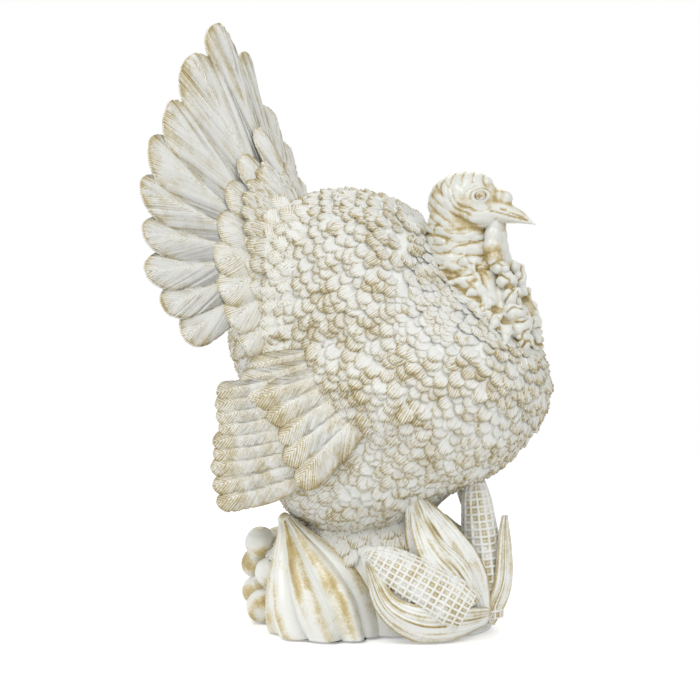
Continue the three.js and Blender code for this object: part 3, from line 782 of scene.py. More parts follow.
@dataclass(frozen=True)
class Feather:
    """Cast feather with a shaft, two vanes of swept barbs, a round tip and a plain back.

    Its own axes are across, along and out of its face.

    Attributes:
        length: From the root to the tip.
        width: Across both vanes.
        root: Width at the root, as a share.
        full: Share of the length at which it is full.
        tip: Share of the length that the round tip takes.
        barb: From one barb to the next.
        relief: Height of a barb.
        fall: Fall of the two edges, as shares of the half width.
        thickness: Thickness along the shaft.
        sweep: Lean of the barbs towards the tip.
        shaft: Height of the shaft.
        skew: How much wider the right vane is than the left one, as a share.
        seed: Picks its splits and worn barbs.
    """

    length: float
    width: float
    root: float = 0.4
    full: float = 0.55
    tip: float = 0.2
    barb: float = 1.7
    relief: float = 0.5
    fall: Spot = (0.3, 0.1)
    thickness: float = 2.2
    sweep: float = 1.35
    shaft: float = 0.9
    skew: float = 0.0
    seed: int = 0

    def edge(self) -> Array:
        """Half outline.

        Returns:
            Places across and along, at each half barb from the root to the tip.
        """
        straight = np.linspace(0, 1 - self.tip, 60)
        turn = np.linspace(0, np.pi / 2, 40)[1:]
        along = np.concatenate([straight, 1 - self.tip + self.tip * np.sin(turn)])
        swell = mix(self.root, 1, smooth(along, 0, self.full))
        closing = np.concatenate([np.ones_like(straight), np.maximum(np.cos(turn), 0.03)])
        line = np.stack([swell * closing * self.width / 2, along * self.length], 1)
        steps = walked(line)
        at = np.linspace(0, steps[-1], 2 * int(steps[-1] / self.barb) + 1)
        return np.stack([np.interp(at, steps, line[:, k]) for k in (0, 1)], 1)

    def vane(self, edge: Array, side: int, rng: np.random.Generator) -> tuple[Array, Array]:
        """One vane's face.

        Args:
            edge: The half outline.
            side: -1 or 1 across.
            rng: Source of its splits and worn barbs.

        Returns:
            Places and gilt, by row and by share of the half width.
        """
        wide, along = edge.T
        rows = np.arange(len(edge))
        share = VANE_SHARES[None, :]
        split = sum(
            rng.uniform(0.05, 0.14) * bell(rows, at, 1.3) for at in rng.uniform(0.25, 0.95, 3) * len(rows)
        )
        crest = np.where(rows % 2, rng.uniform(0.35, 1.0, len(rows)), rng.uniform(0.0, 0.4, len(rows)))
        lean = (self.sweep * wide)[:, None]
        stray = self.barb * rng.uniform(-0.22, 0.22, len(rows))[:, None] * smooth(share, 0.2, 0.8)
        reach = (wide * (1 - split))[:, None] * share * (1 + side * self.skew)
        x = side * reach - self.skew * wide[:, None]
        y = along[:, None] - lean * (1 - share**1.25) + stray * (1 - share**8)
        fall = self.fall[(side + 1) // 2]
        z = 0.5 * np.sin(np.pi * share) - fall * wide[:, None] * share**1.5
        z = z + self.relief * (crest - 0.4)[:, None] * smooth(share, 0.06, 0.25)
        z = z - 0.3 * smooth(share, 0.9, 1.0) - 0.4 * (split / 0.1)[:, None] * smooth(share, 0.4, 1)
        taper = (1 - smooth(along / self.length, 0.7, 1.0))[:, None]
        z = z + self.shaft * taper * (1 - smooth(share, 0.03, 0.12))
        ends = smooth(along / self.length, 0.74, 1.0)[:, None]
        broken = rng.uniform(0.1, 1.5, (len(rows), VANE_SHARES.size))
        gilt = 0.25 + (0.3 + 0.1 * share) * crest[:, None] * broken + 0.46 * smooth(share, 0.8, 1.0)
        gilt = gilt + 0.15 * ends + 0.44 * self.shaft * taper * (1 - smooth(share, 0.05, 0.13))
        return np.stack([x, y, z], -1), gilt

    def mesh(self) -> Surface:
        """Closed surface of the feather.

        Returns:
            The surface, along the feather's own axes.
        """
        rng = np.random.default_rng(self.seed)
        edge = self.edge()
        wide, along = edge.T
        left, left_gilt = self.vane(edge, -1, rng)
        right, right_gilt = self.vane(edge, 1, rng)
        taper = 1 - smooth(along / self.length, 0.7, 1.0)
        spine = np.stack([-self.skew * wide, along - self.sweep * wide, self.shaft * taper + 0.1], -1)
        ridge = 0.5 * (np.arange(len(edge)) % 2)
        lines = [right[:, VANE_EDGE], right[:, VANE_MIDDLE], spine]
        lines += [left[:, VANE_MIDDLE], left[:, VANE_EDGE]]
        back = []
        for line, depth in zip(lines, BACK_DEPTHS):
            under = np.minimum(line[:, 2], 0.3) - depth * self.thickness - self.relief * ridge
            back.append(np.column_stack([line[:, :2], under]))
        rings = np.concatenate([left[:, ::-1], spine[:, None], right, np.stack(back, 1)], 1)
        shaft = 0.2 + 0.5 * self.shaft * taper[:, None]
        flat = np.repeat((0.26 + 0.5 * ridge)[:, None], len(back), 1)
        gilt = np.concatenate([left_gilt[:, ::-1], shaft, right_gilt, flat], 1)
        rows = np.arange(len(edge))[:, None] * self.barb / 2
        return skin(rings, gilt, np.broadcast_to(rows / BARB_RULE, gilt.shape))


# Scales of the plumage, stood on points by Geometry Nodes

SCALE_FORMS = 5
SCALE_COLUMNS = 13
# Rows of a scale from its root to its turned end: place along, half width, lift, spread of the fan, gilt
SCALE_ROWS = np.array(
    [
        (-0.35, 0.3, -0.26, 0, 0.12),
        (0.35, 0.46, 0.05, 0.6, 0.26),
        (0.72, 0.53, 0.1, 1, 0.46),
        (0.98, 0.5, 0.17, 1, 0.8),
        (1.03, 0.48, -0.02, 0.9, 0.75),
    ]
)
SCALE_BACK = 0.16
SCATTER = "plumage_scatter"


def scale_form(seed: int) -> Surface:
    """Small fan-shaped scale with raised rays, one unit wide, with its root at the origin.

    Args:
        seed: Picks its ragged end and the heights of its rays.

    Returns:
        The scale, with its tip along Y. Its root dives, so that the scales before it cover it.
    """
    rng = np.random.default_rng(seed)
    share = np.linspace(-1, 1, SCALE_COLUMNS)
    ray = np.where(np.arange(SCALE_COLUMNS) % 2, rng.uniform(0.04, 0.085, SCALE_COLUMNS), 0.0)
    ragged = rng.uniform(-0.035, 0.035, SCALE_COLUMNS) + 0.04 * (ray > 0)
    along, half, lift, spread, rim = SCALE_ROWS.T[..., None]
    x = half * share
    y = along - spread * (0.42 * share**2 - ragged)
    crinkle = rng.uniform(-0.03, 0.035, (len(SCALE_ROWS), SCALE_COLUMNS))
    z = lift - 0.1 * spread * share**2 + spread * (ray + crinkle)
    front = np.stack([x, y, z], -1)
    back = front[:, [-1, 0]].copy()
    back[..., 2] -= SCALE_BACK
    gilt = rim + np.where(ray > 0, 0.24, -0.2)
    gilt = np.concatenate([gilt, np.full((len(SCALE_ROWS), 2), 0.2)], 1)
    fan = np.concatenate([share, [1.0, -1.0]])
    return skin(np.concatenate([front, back], 1), gilt, fan[None, :])


def scatter_tree() -> bpy.types.NodeTree:
    """Tree that stands a scale on each point, made at its first use.

    Returns:
        The tree.
    """
    known = bpy.data.node_groups.get(SCATTER)
    if known is not None:
        return known
    tree = bpy.data.node_groups.new(SCATTER, "GeometryNodeTree")
    labels = [f"Scale {k + 1}" for k in range(SCALE_FORMS)]
    kinds = {"Points": "Geometry"} | dict.fromkeys(labels, "Object")
    kinds |= {"Seed": "Int", "Sway": "Float", "Resin": "Material"}
    for label, kind in kinds.items():
        tree.interface.new_socket(label, in_out="INPUT", socket_type=f"NodeSocket{kind}")
    tree.interface.new_socket("Coat", in_out="OUTPUT", socket_type="NodeSocketGeometry")
    node = partial(add_node, tree)
    enter = node("NodeGroupInput").outputs
    forms = node("GeometryNodeJoinGeometry")
    for label in reversed(labels):
        form = node("GeometryNodeObjectInfo", {"Object": enter[label], "As Instance": True})
        tree.links.new(form.outputs["Geometry"], forms.inputs[0])
    vectors = []
    for label in ("out", "along", "size"):
        layer = node("GeometryNodeInputNamedAttribute", {"Name": label}, data_type="FLOAT_VECTOR")
        vectors.append(layer.outputs["Attribute"])
    out, along, size = vectors
    cube = {0: (-1.0,) * 3, 1: (1.0,) * 3, "Seed": enter["Seed"]}
    pick = node("FunctionNodeRandomValue", cube, data_type="FLOAT_VECTOR").outputs[0]
    aside = node("ShaderNodeVectorMath", {0: pick, 1: along}, operation="CROSS_PRODUCT").outputs[0]
    sway = node("ShaderNodeVectorMath", {0: aside, "Scale": enter["Sway"]}, operation="SCALE").outputs[0]
    heading = node("ShaderNodeVectorMath", {0: along, 1: sway}, operation="ADD").outputs[0]
    upright = node("FunctionNodeAlignRotationToVector", {"Vector": out}, axis="Z").outputs[0]
    ways = {"Rotation": upright, "Vector": heading}
    turn = node("FunctionNodeAlignRotationToVector", ways, axis="Y", pivot_axis="Z").outputs[0]
    range_of_forms = {4: 0, 5: SCALE_FORMS - 1, "Seed": enter["Seed"]}
    which = node("FunctionNodeRandomValue", range_of_forms, data_type="INT").outputs[2]
    standing = {
        "Points": enter["Points"], "Instance": forms.outputs[0], "Pick Instance": True,
        "Instance Index": which, "Rotation": turn, "Scale": size,
    }
    stood = node("GeometryNodeInstanceOnPoints", standing)
    real = node("GeometryNodeRealizeInstances", {"Geometry": stood.outputs[0]})
    painted = node("GeometryNodeSetMaterial", {"Geometry": real.outputs[0], "Material": enter["Resin"]})
    node("NodeGroupOutput", {"Coat": painted.outputs[0]})
    return tree


@dataclass
class Plumage:
    """Coat of small scales over a form.

    Attributes:
        points: Root of each scale.
        out: Way that the form looks there.
        along: Way that the scale points.
        size: Width, length and thickness of each scale, as shares of the usual form in millimetres.
        seed: Picks each scale's form and its small turn.
        sway: Size of that turn.
    """

    points: Array
    out: Array
    along: Array
    size: Array
    seed: int
    sway: float = 0.16

    def coat(self, name: str, finish: Finish) -> bpy.types.Object:
        """Stand the scales and make them one plain mesh.

        Args:
            name: Name of the object.
            finish: Finish of the scales.

        Returns:
            The object, linked to the scene.
        """
        mesh = bpy.data.meshes.new(name + "_points")
        mesh.from_pydata((self.points * MM).tolist(), [], [])
        add_layers(mesh, "FLOAT_VECTOR", "vector", out=self.out, along=self.along, size=self.size)
        made = linked(name, mesh)
        forms = [scale_form(k).written(f"scale_form_{k}") for k in range(SCALE_FORMS)]
        scatter = made.modifiers.new("scatter", "NODES")
        scatter.node_group = scatter_tree()
        values = {f"Scale {k + 1}": form for k, form in enumerate(forms)}
        values |= {"Seed": self.seed, "Sway": self.sway, "Resin": finish.material()}
        for item in scatter.node_group.interface.items_tree:
            if item.in_out == "INPUT" and item.name in values:
                scatter[item.identifier] = values[item.name]
        coat = shaped(made)
        made.modifiers.remove(scatter)
        made.data = coat
        coat.name = name
        coat.shade_smooth()
        for used in (mesh, *(form.data for form in forms)):
            bpy.data.meshes.remove(used)
        return made


def joined(name: str, objects: Sequence[bpy.types.Object]) -> bpy.types.Object:
    """Several objects as one.

    Args:
        name: Name of the one object.
        objects: The objects, of which the first is kept.

    Returns:
        The one object.
    """
    with bpy.context.temp_override(active_object=objects[0], selected_editable_objects=list(objects)):
        bpy.ops.object.join()
    objects[0].name = name
    objects[0].data.name = name
    return objects[0]


# Body


@dataclass(frozen=True)
class Cut:
    """How the scales of a zone are cut and laid.

    Attributes:
        finish: Their finish.
        width: Width of a scale.
        seed: Picks their small shifts.
        loose: How far a scale strays from its row, as a share of its width.
        spread: How much their sizes differ, as a share.
        thick: Thickness, as a share.
        rise: Height of their roots over the skin.
        sway: Size of their small turns.
    """

    finish: WashedResin = SCALE
    width: float = 6.9
    seed: int = 11
    loose: float = 0.3
    spread: float = 0.26
    thick: float = 1.0
    rise: float = -0.1
    sway: float = 0.3


CUTS = {
    Zone.CAPE: Cut(CAPE, 5.0, 12, loose=0.45, spread=0.4, thick=0.6, rise=0.3, sway=0.5),
    Zone.BREAST: Cut(),
    Zone.BACK: Cut(),
}


@dataclass
class Body(SubAssembly):
    """Plump body in a coat of scales, which run from the neck to the tail and down the breast.

    Towards the tail the scales grow into plumes, between two places back and two heights. A wing hides
    the flank over a span, given by its middle and half length, under a sloping top and over a line that
    bends at its knee.
    """

    middle: Place = (8, 0, 142)
    radius: float = 97.0
    half_width: float = 62.0
    fullness: float = 2.3
    swell: tuple[float, ...] = (0.95, 0.79, 0.75, 1.05, 1.18, 1.06, 0.88, 0.87, 0.98, 0.91, 0.76, 0.86)
    crown: float = 44.0
    sunk: float = 0.6
    cape: Spot = (33, 167)
    parting: float = 8.0
    coat_foot: float = 46.0
    row_angles: Spot = (10, 178)
    row_step: float = 0.78
    usual_size: float = 1.08
    scale_shape: Spot = (1.14, 1.16)
    plumes: Place = (0.7, 1.1, 0.1)
    plumes_back: Spot = (34, 66)
    plumes_up: Spot = (150, 175)
    wing_out: float = 30.0
    wing_span: Spot = (-16, 20)
    wing_top: Spot = (-0.1, -8)
    wing_knee: Spot = (-27, -52)
    wing_slopes: Spot = (0.9, 0.3)
    shell_rows: int = 44

    def outline(self, angle: Array) -> Array:
        """Side outline, by a closed curve through the swells.

        Args:
            angle: Angles in degrees, from ahead and up.

        Returns:
            Radii at the angles.
        """
        swell = np.array(self.swell)
        place = (angle / 360 % 1) * len(swell)
        whole = np.floor(place).astype(int)
        knots = (swell[(whole + k) % len(swell)] for k in (-1, 0, 1, 2))
        return self.radius * curved(*knots, place - whole)

    def level(self, ways: Array) -> Array:
        """How far out places lie.

        Args:
            ways: Places from the middle.

        Returns:
            Levels, 1 on the skin.
        """
        angle = np.degrees(np.arctan2(ways[..., 2], ways[..., 0]))
        flat = np.hypot(ways[..., 0], ways[..., 2]) / self.outline(angle)
        wide = np.abs(ways[..., 1]) / self.half_width
        return (flat**self.fullness + wide**self.fullness) ** (1 / self.fullness)

    def skin_at(self, ways: Array) -> Array:
        """Places on the skin along ways out of the middle."""
        return np.array(self.middle) + ways / self.level(ways)[..., None]

    def out_at(self, points: Array) -> Array:
        """Ways that the skin looks at places on it."""
        ways = points - np.array(self.middle)
        return unit(np.stack([self.level(ways + s) - self.level(ways - s) for s in 0.5 * np.eye(3)], -1))

    def flank_at(self, ahead: float, rise: float) -> Array:
        """Place on the right flank.

        Args:
            ahead: Its place ahead of the middle, in the side view.
            rise: Its place above the middle.

        Returns:
            The place.
        """
        flat = math.hypot(ahead, rise) / self.outline(np.degrees(np.arctan2(rise, ahead)))
        half = self.half_width * max(0.0, 1 - flat**self.fullness) ** (1 / self.fullness)
        return np.array(self.middle) + np.array([ahead, -half, rise])

    def shell(self) -> Surface:
        """Bare casting under the scales.

        Returns:
            Its surface.
        """
        across = np.linspace(0.02, np.pi - 0.02, self.shell_rows)[:, None]
        turn = round_turn(2 * self.shell_rows)
        x, z = np.sin(across) * np.cos(turn), np.sin(across) * np.sin(turn)
        points = self.skin_at(np.stack([x, -np.cos(across) + 0 * turn, z], -1))
        return skin(points - self.sunk * self.out_at(points), 0.2)

    def rows(self, cut: Cut) -> Array:
        """Places on the skin in staggered rows round the neck's foot.

        Args:
            cut: How the scales are laid.

        Returns:
            The places.
        """
        rng = np.random.default_rng(cut.seed)
        crown, up = tipped(self.crown)
        turn = np.linspace(0, 2 * np.pi, 361)

        def ring(away: Array | float, angle: Array) -> Array:
            """Places on the skin round the crown.

            Args:
                away: Angles from the crown.
                angle: Angles round it.

            Returns:
                The places.
            """
            far = np.broadcast_to(away, angle.shape)[:, None]
            around = np.cos(angle)[:, None] * up + np.sin(angle)[:, None] * ACROSS
            return self.skin_at(np.cos(far) * crown + np.sin(far) * around)

        (away, end), rows = self.row_angles, []
        while away < end:
            start = math.radians(away)
            whole = ring(start, turn)
            steps = walked(whole)
            count = max(6, round(steps[-1] / cut.width))
            stray = rng.uniform(-cut.loose, cut.loose, count)
            at = (np.arange(count) + 0.5 * (len(rows) % 2) + stray) / count
            angle = np.interp(at * steps[-1] % steps[-1], steps, turn)
            wander = rng.uniform(-cut.loose, cut.loose, count) * cut.width / self.radius
            rows.append(ring(start + wander, angle))
            reach = float(np.mean(np.linalg.norm(whole - np.array(self.middle), axis=1)))
            away += math.degrees(self.row_step * cut.width / reach)
        return np.vstack(rows)

    def in_zone(self, points: Array, zone: Zone) -> Array:
        """Which places lie in a zone: the cape of fine scales round the neck, the breast or the back.

        Args:
            points: The places.
            zone: The zone.

        Returns:
            True for each place in it.
        """
        cape = (points[:, 2] > self.cape[1]) & (points[:, 0] > self.cape[0])
        if zone is Zone.CAPE:
            return cape
        return ~cape & ((points[:, 0] > self.parting) == (zone is Zone.BREAST))

    def under_wing(self, points: Array) -> Array:
        """Which places the wings hide.

        Args:
            points: The places.

        Returns:
            True for each hidden place.
        """
        ahead, rise = points[:, 0] - self.middle[0], points[:, 2] - self.middle[2]
        (middle, half), (slope, top), (knee, low) = self.wing_span, self.wing_top, self.wing_knee
        lower = low + np.where(ahead > knee, *self.wing_slopes) * (ahead - knee)
        hidden = (np.abs(points[:, 1]) > self.wing_out) & (np.abs(ahead - middle) < half)
        return hidden & (rise < slope * ahead + top) & (rise > lower)

    def scales(self, zone: Zone, cut: Cut) -> Plumage:
        """Scales in one zone.

        Args:
            zone: Where they lie.
            cut: How they are cut and laid.

        Returns:
            The coat.
        """
        rng = np.random.default_rng(cut.seed)
        points = self.rows(cut)
        bare = (points[:, 2] <= self.coat_foot) | self.under_wing(points)
        points = points[~bare & self.in_zone(points, zone)]
        out = self.out_at(points)
        along = flattened(-tipped(self.crown)[0], out)
        low, high = self.usual_size - cut.spread, self.usual_size + cut.spread
        shape = np.array([*self.scale_shape, cut.thick])
        size = cut.width * rng.uniform(low, high, (len(points), 1)) * shape
        # Towards the tail the scales grow into plumes that reach over the coverts' roots
        grown = 0.6 * smooth(-points[:, 0], *self.plumes_back) * smooth(points[:, 2], *self.plumes_up)
        grown = grown[:, None]
        size = size * (1 + grown * np.array(self.plumes))
        along = unit(along + grown * np.array([-0.8, 0.0, 0.0]) + 0.2 * grown * out)
        return Plumage(points + cut.rise * out, out, along, size, cut.seed, cut.sway)

    def build(self) -> None:
        """Make the body."""
        for zone, cut in CUTS.items():
            coat = self.scales(zone, cut).coat(f"{zone.value}_scales", cut.finish)
            self.dress(coat, cut.finish, Slot.PLUMAGE, "body")
        self.dress(self.shell().written("body_shell"), SCALE, Slot.PLUMAGE, "body")


# Tail


@dataclass(frozen=True)
class CovertRow:
    """Row of short feathers over the roots of the fan, on both sides.

    Attributes:
        spots: Angle from the middle, and reach from the fan's root, of each one on the right.
        width: Width of each.
        lift: Height of their roots and tips over the fan's plane.
        seed: Picks their splits.
    """

    spots: tuple[Spot, ...]
    width: float
    lift: Spot
    seed: int


LONG_COVERTS = CovertRow(
    ((0, 76), (24, 65.5), (50, 64), (74, 68), (91, 75), (104, 80), (115, 84), (126, 84)),
    width=26.0, lift=(11.4, 4.5), seed=100,
)
SHORT_COVERTS = CovertRow(
    ((18, 54), (45, 50), (66, 50), (84, 53), (98, 57), (110, 60), (121, 62)), width=23.0,
    lift=(14.5, 9.6), seed=140,
)


@dataclass
class Tail(SubAssembly):
    """Fan of tail feathers with rows of coverts over their roots, on a domed core.

    Feathers' angles, shares, tips and widths run from the middle one out. The rump's rows lie on the
    body: each is given by the side view's place of its first root, ahead of the body's middle and
    above it, and by the reach of its feathers.
    """

    body: Body
    root: Place = (-50.9, 0, 212.2)
    lean: float = 19.0
    sweep: float = 15.0
    sweep_start: float = 0.2
    angles: tuple[float, ...] = (0, 19.8, 41.8, 57.8, 71, 82.5, 92, 100.3, 109)
    reach: float = 137.0
    shares: tuple[float, ...] = (1.03, 0.94, 0.88, 0.91, 0.94, 0.95, 0.985, 0.95, 0.9)
    tips: tuple[float, ...] = (0.17, 0.27, 0.22, 0.22, 0.25, 0.28, 0.28, 0.28, 0.26)
    widths: tuple[float, ...] = (43, 45, 41, 36, 31, 26, 24, 23, 24)
    far: float = 1.035
    roll: float = 4.0
    step_back: float = 0.6
    covert_step_back: float = 0.9
    covert_root: float = 0.28
    hidden: float = 36.0
    core: Place = (10, 42, 33)
    core_reach: float = 60.0
    core_domes: Spot = (15, 11.5)
    core_half_angle: float = 125.0
    core_step: float = 6.0
    core_pitch: float = 9.0
    core_front: float = 44.0
    rump: tuple[Place, ...] = ((-48, 94, 19), (-40, 91, 15), (-33, 92, 12.5))
    rump_step: float = 7.6
    rump_foot: float = 22.0
    rump_turn: Spot = (0.9, 48)
    rump_width: float = 0.74
    rump_gilt: float = 0.08

    def way(self, angle: float) -> Array:
        """Way that a feather points.

        Args:
            angle: Its angle from the middle one, positive on the right.

        Returns:
            The way.
        """
        swept, turn = math.radians(self.sweep), math.radians(angle)
        side = math.sin(turn)
        back = (math.hypot(side, self.sweep_start) - self.sweep_start) * math.sin(swept)
        return unit(tipped(self.lean)[1] * math.cos(turn) - np.array([back, side * math.cos(swept), 0.0]))

    def face(self, angle: float, roll: float = 0.0) -> Array:
        """Way that the fan looks.

        Args:
            angle: Angle of the feather there.
            roll: Turn about that feather.

        Returns:
            The way.
        """
        way = self.way(angle)
        face = unit(np.cross(self.way(angle + 1) - self.way(angle - 1), way))
        face = face * np.sign(face[0])
        turn = math.radians(roll)
        return face * math.cos(turn) + np.cross(way, face) * math.sin(turn)

    def set_in(self, feather: Feather, angle: float, start: float, roll: float, lift: Spot) -> Surface:
        """A feather in the fan.

        Args:
            feather: The feather.
            angle: Its angle from the middle one.
            start: How far its root lies from the fan's root.
            roll: Its turn about its own length.
            lift: Height of its root and of its tip over the fan's plane.

        Returns:
            Its surface.
        """
        way, face, plain = self.way(angle), self.face(angle, roll), self.face(angle)
        across = np.cross(face, way)

        def place(points: Array) -> Array:
            """Put the feather's own places into the fan.

            Args:
                points: Places across, along and out of its face.

            Returns:
                The places in the fan.
            """
            rise = mix(lift[0], lift[1], np.clip(points[:, 1] / feather.length, 0, 1) ** 2)
            flat = points[:, :1] * across + (start + points[:, 1:2]) * way + points[:, 2:] * face
            return np.array(self.root) + flat + rise[:, None] * plain

        return feather.mesh().mapped(place)

    def falls(self, index: float) -> Spot:
        """Fall of a feather's two edges: the inner one tucks behind its neighbour."""
        return (0.18, 0.16) if index == 0 else ((0.16, 0.12) if index > 0 else (0.12, 0.16))

    def tail_feather(self, index: int) -> Surface:
        """One of the long feathers.

        Args:
            index: Its number from the middle one, positive on the right.

        Returns:
            Its surface.
        """
        place = abs(index)
        # The first one on the far side stands higher than its mirror image
        share = self.shares[place] * (self.far if index == -1 else 1.0)
        feather = Feather(
            self.reach * share - self.hidden, self.widths[place], root=0.66, tip=self.tips[place],
            barb=1.4, relief=0.9, fall=self.falls(index), sweep=3.6, seed=40 + index,
        )
        angle = math.copysign(self.angles[place], index)
        roll = np.sign(index) * (self.roll if place > 1 else -self.roll)
        rise = 2 - (self.step_back * place if index else 1.2)
        return self.set_in(feather, angle, self.hidden, roll, (rise, rise))

    def coverts(self, row: CovertRow) -> list[Surface]:
        """A row of coverts.

        Args:
            row: The row.

        Returns:
            Their surfaces.
        """
        made = []
        for number, (angle, reach) in enumerate(row.spots):
            behind = self.covert_step_back * number
            lift = (row.lift[0] - behind, row.lift[1] - behind)
            for turn in {angle, -angle}:
                feather = Feather(
                    (1 - self.covert_root) * reach, row.width, root=0.55, full=0.5, tip=0.26, barb=1.3,
                    relief=0.65, fall=self.falls(turn), thickness=2.0, sweep=2.8, shaft=0.5,
                    seed=row.seed + number,
                )
                roll = np.sign(turn) * self.roll
                made.append(self.set_in(feather, turn, self.covert_root * reach, roll, lift))
        return made

    def rump_rows(self) -> list[Surface]:
        """Rows of short coverts that grow out of the rump, each over the row behind it.

        Returns:
            Their surfaces.
        """
        rng = np.random.default_rng(19)
        turn, level = self.rump_turn
        rows = []
        for ahead, first, reach in self.rump:
            for rise in np.arange(first, self.rump_foot, -self.rump_step):
                rise = rise + rng.uniform(-1.5, 1.5)
                start = self.body.flank_at(ahead, rise)
                up = math.radians(turn * (rise - level) + rng.uniform(-8, 8))
                out = self.body.out_at(start)
                flat = np.array([-math.cos(up), -0.1, math.sin(up)])
                way = unit(0.5 * flat + 0.5 * flattened(flat, out))
                face = flattened(out, way)
                axes = np.stack([np.cross(way, face), way, face])
                feather = Feather(
                    length=reach * rng.uniform(0.9, 1.15),
                    width=self.rump_width * reach * rng.uniform(0.85, 1.15),
                    root=0.6, full=0.5, tip=0.36, barb=1.2, relief=0.35, fall=(0.45, 0.45), sweep=1.3,
                    shaft=0.25, seed=180 + len(rows),
                )
                made = feather.mesh().mapped(lambda points, axes=axes, start=start: start + points @ axes)
                made = replace(made, gilt=made.gilt + self.rump_gilt)
                rows += [made, made.mirrored()]
        return rows

    def core_coat(self) -> Plumage:
        """Scales that run the coverts into those of the back, in front as far as the coverts' roots.

        Returns:
            The coat.
        """
        rng = np.random.default_rng(17)
        half = self.core_half_angle
        points, ways, faces = [], [], []
        for row, reach in enumerate(np.arange(self.core_step, self.core_reach, self.core_step)):
            count = max(5, round(math.radians(2 * half) * reach / self.core_pitch))
            rise = math.sqrt(max(0.1, 1 - (reach / self.core_reach) ** 2))
            for number in range(count):
                angle = mix(-half, half, (number + 0.5 * (row % 2) + rng.uniform(-0.15, 0.15)) / count)
                way, front = self.way(angle), self.face(angle)
                looks = list(zip((front, -front), self.core_domes))
                for face, dome in looks if reach < self.core_front else looks[1:]:
                    points.append(np.array(self.root) + reach * way + dome * rise * face)
                    ways.append(unit(way - 0.25 * face))
                    faces.append(unit(face + 0.25 * way))
        size = rng.uniform(8.5, 11.0, (len(points), 1)) * np.array([1.1, 1.3, 0.8])
        return Plumage(np.array(points), np.array(faces), np.array(ways), size, 9)

    def core_form(self) -> Surface:
        """Domed core that the feathers grow out of.

        Returns:
            Its surface.
        """
        out, up = tipped(self.lean)
        dome = ball((0, 0, 0), self.core, rows=40, columns=80)
        bumps = ripple(dome.points, 5.0, 8)
        grown = dome.points * (1 + 0.012 * bumps[:, None])
        points = np.array(self.root) + 0.42 * self.core[2] * up + grown @ np.stack([out, ACROSS, up])
        return replace(dome, points=points, gilt=0.35 + 0.25 * bumps)

    def build(self) -> None:
        """Make the tail."""
        last = len(self.angles) - 1
        for index in range(-last, last + 1):
            side = Side.RIGHT if index > 0 else Side.LEFT
            node = f"tail_feather_{side.word}_{abs(index)}" if index else "tail_feather_middle"
            self.cast(node, self.tail_feather(index), QUILL, Slot.PLUMAGE)
        rows = merged(self.coverts(LONG_COVERTS) + self.coverts(SHORT_COVERTS) + self.rump_rows())
        self.dress(rows.written("tail_covert_rows"), QUILL, Slot.PLUMAGE, "tail_coverts")
        coat = self.core_coat().coat("tail_core_scales", SCALE)
        made = joined("tail_core_cast", [coat, self.core_form().written("tail_core_dome")])
        self.dress(made, SCALE, Slot.PLUMAGE, "tail_core")


# Wings


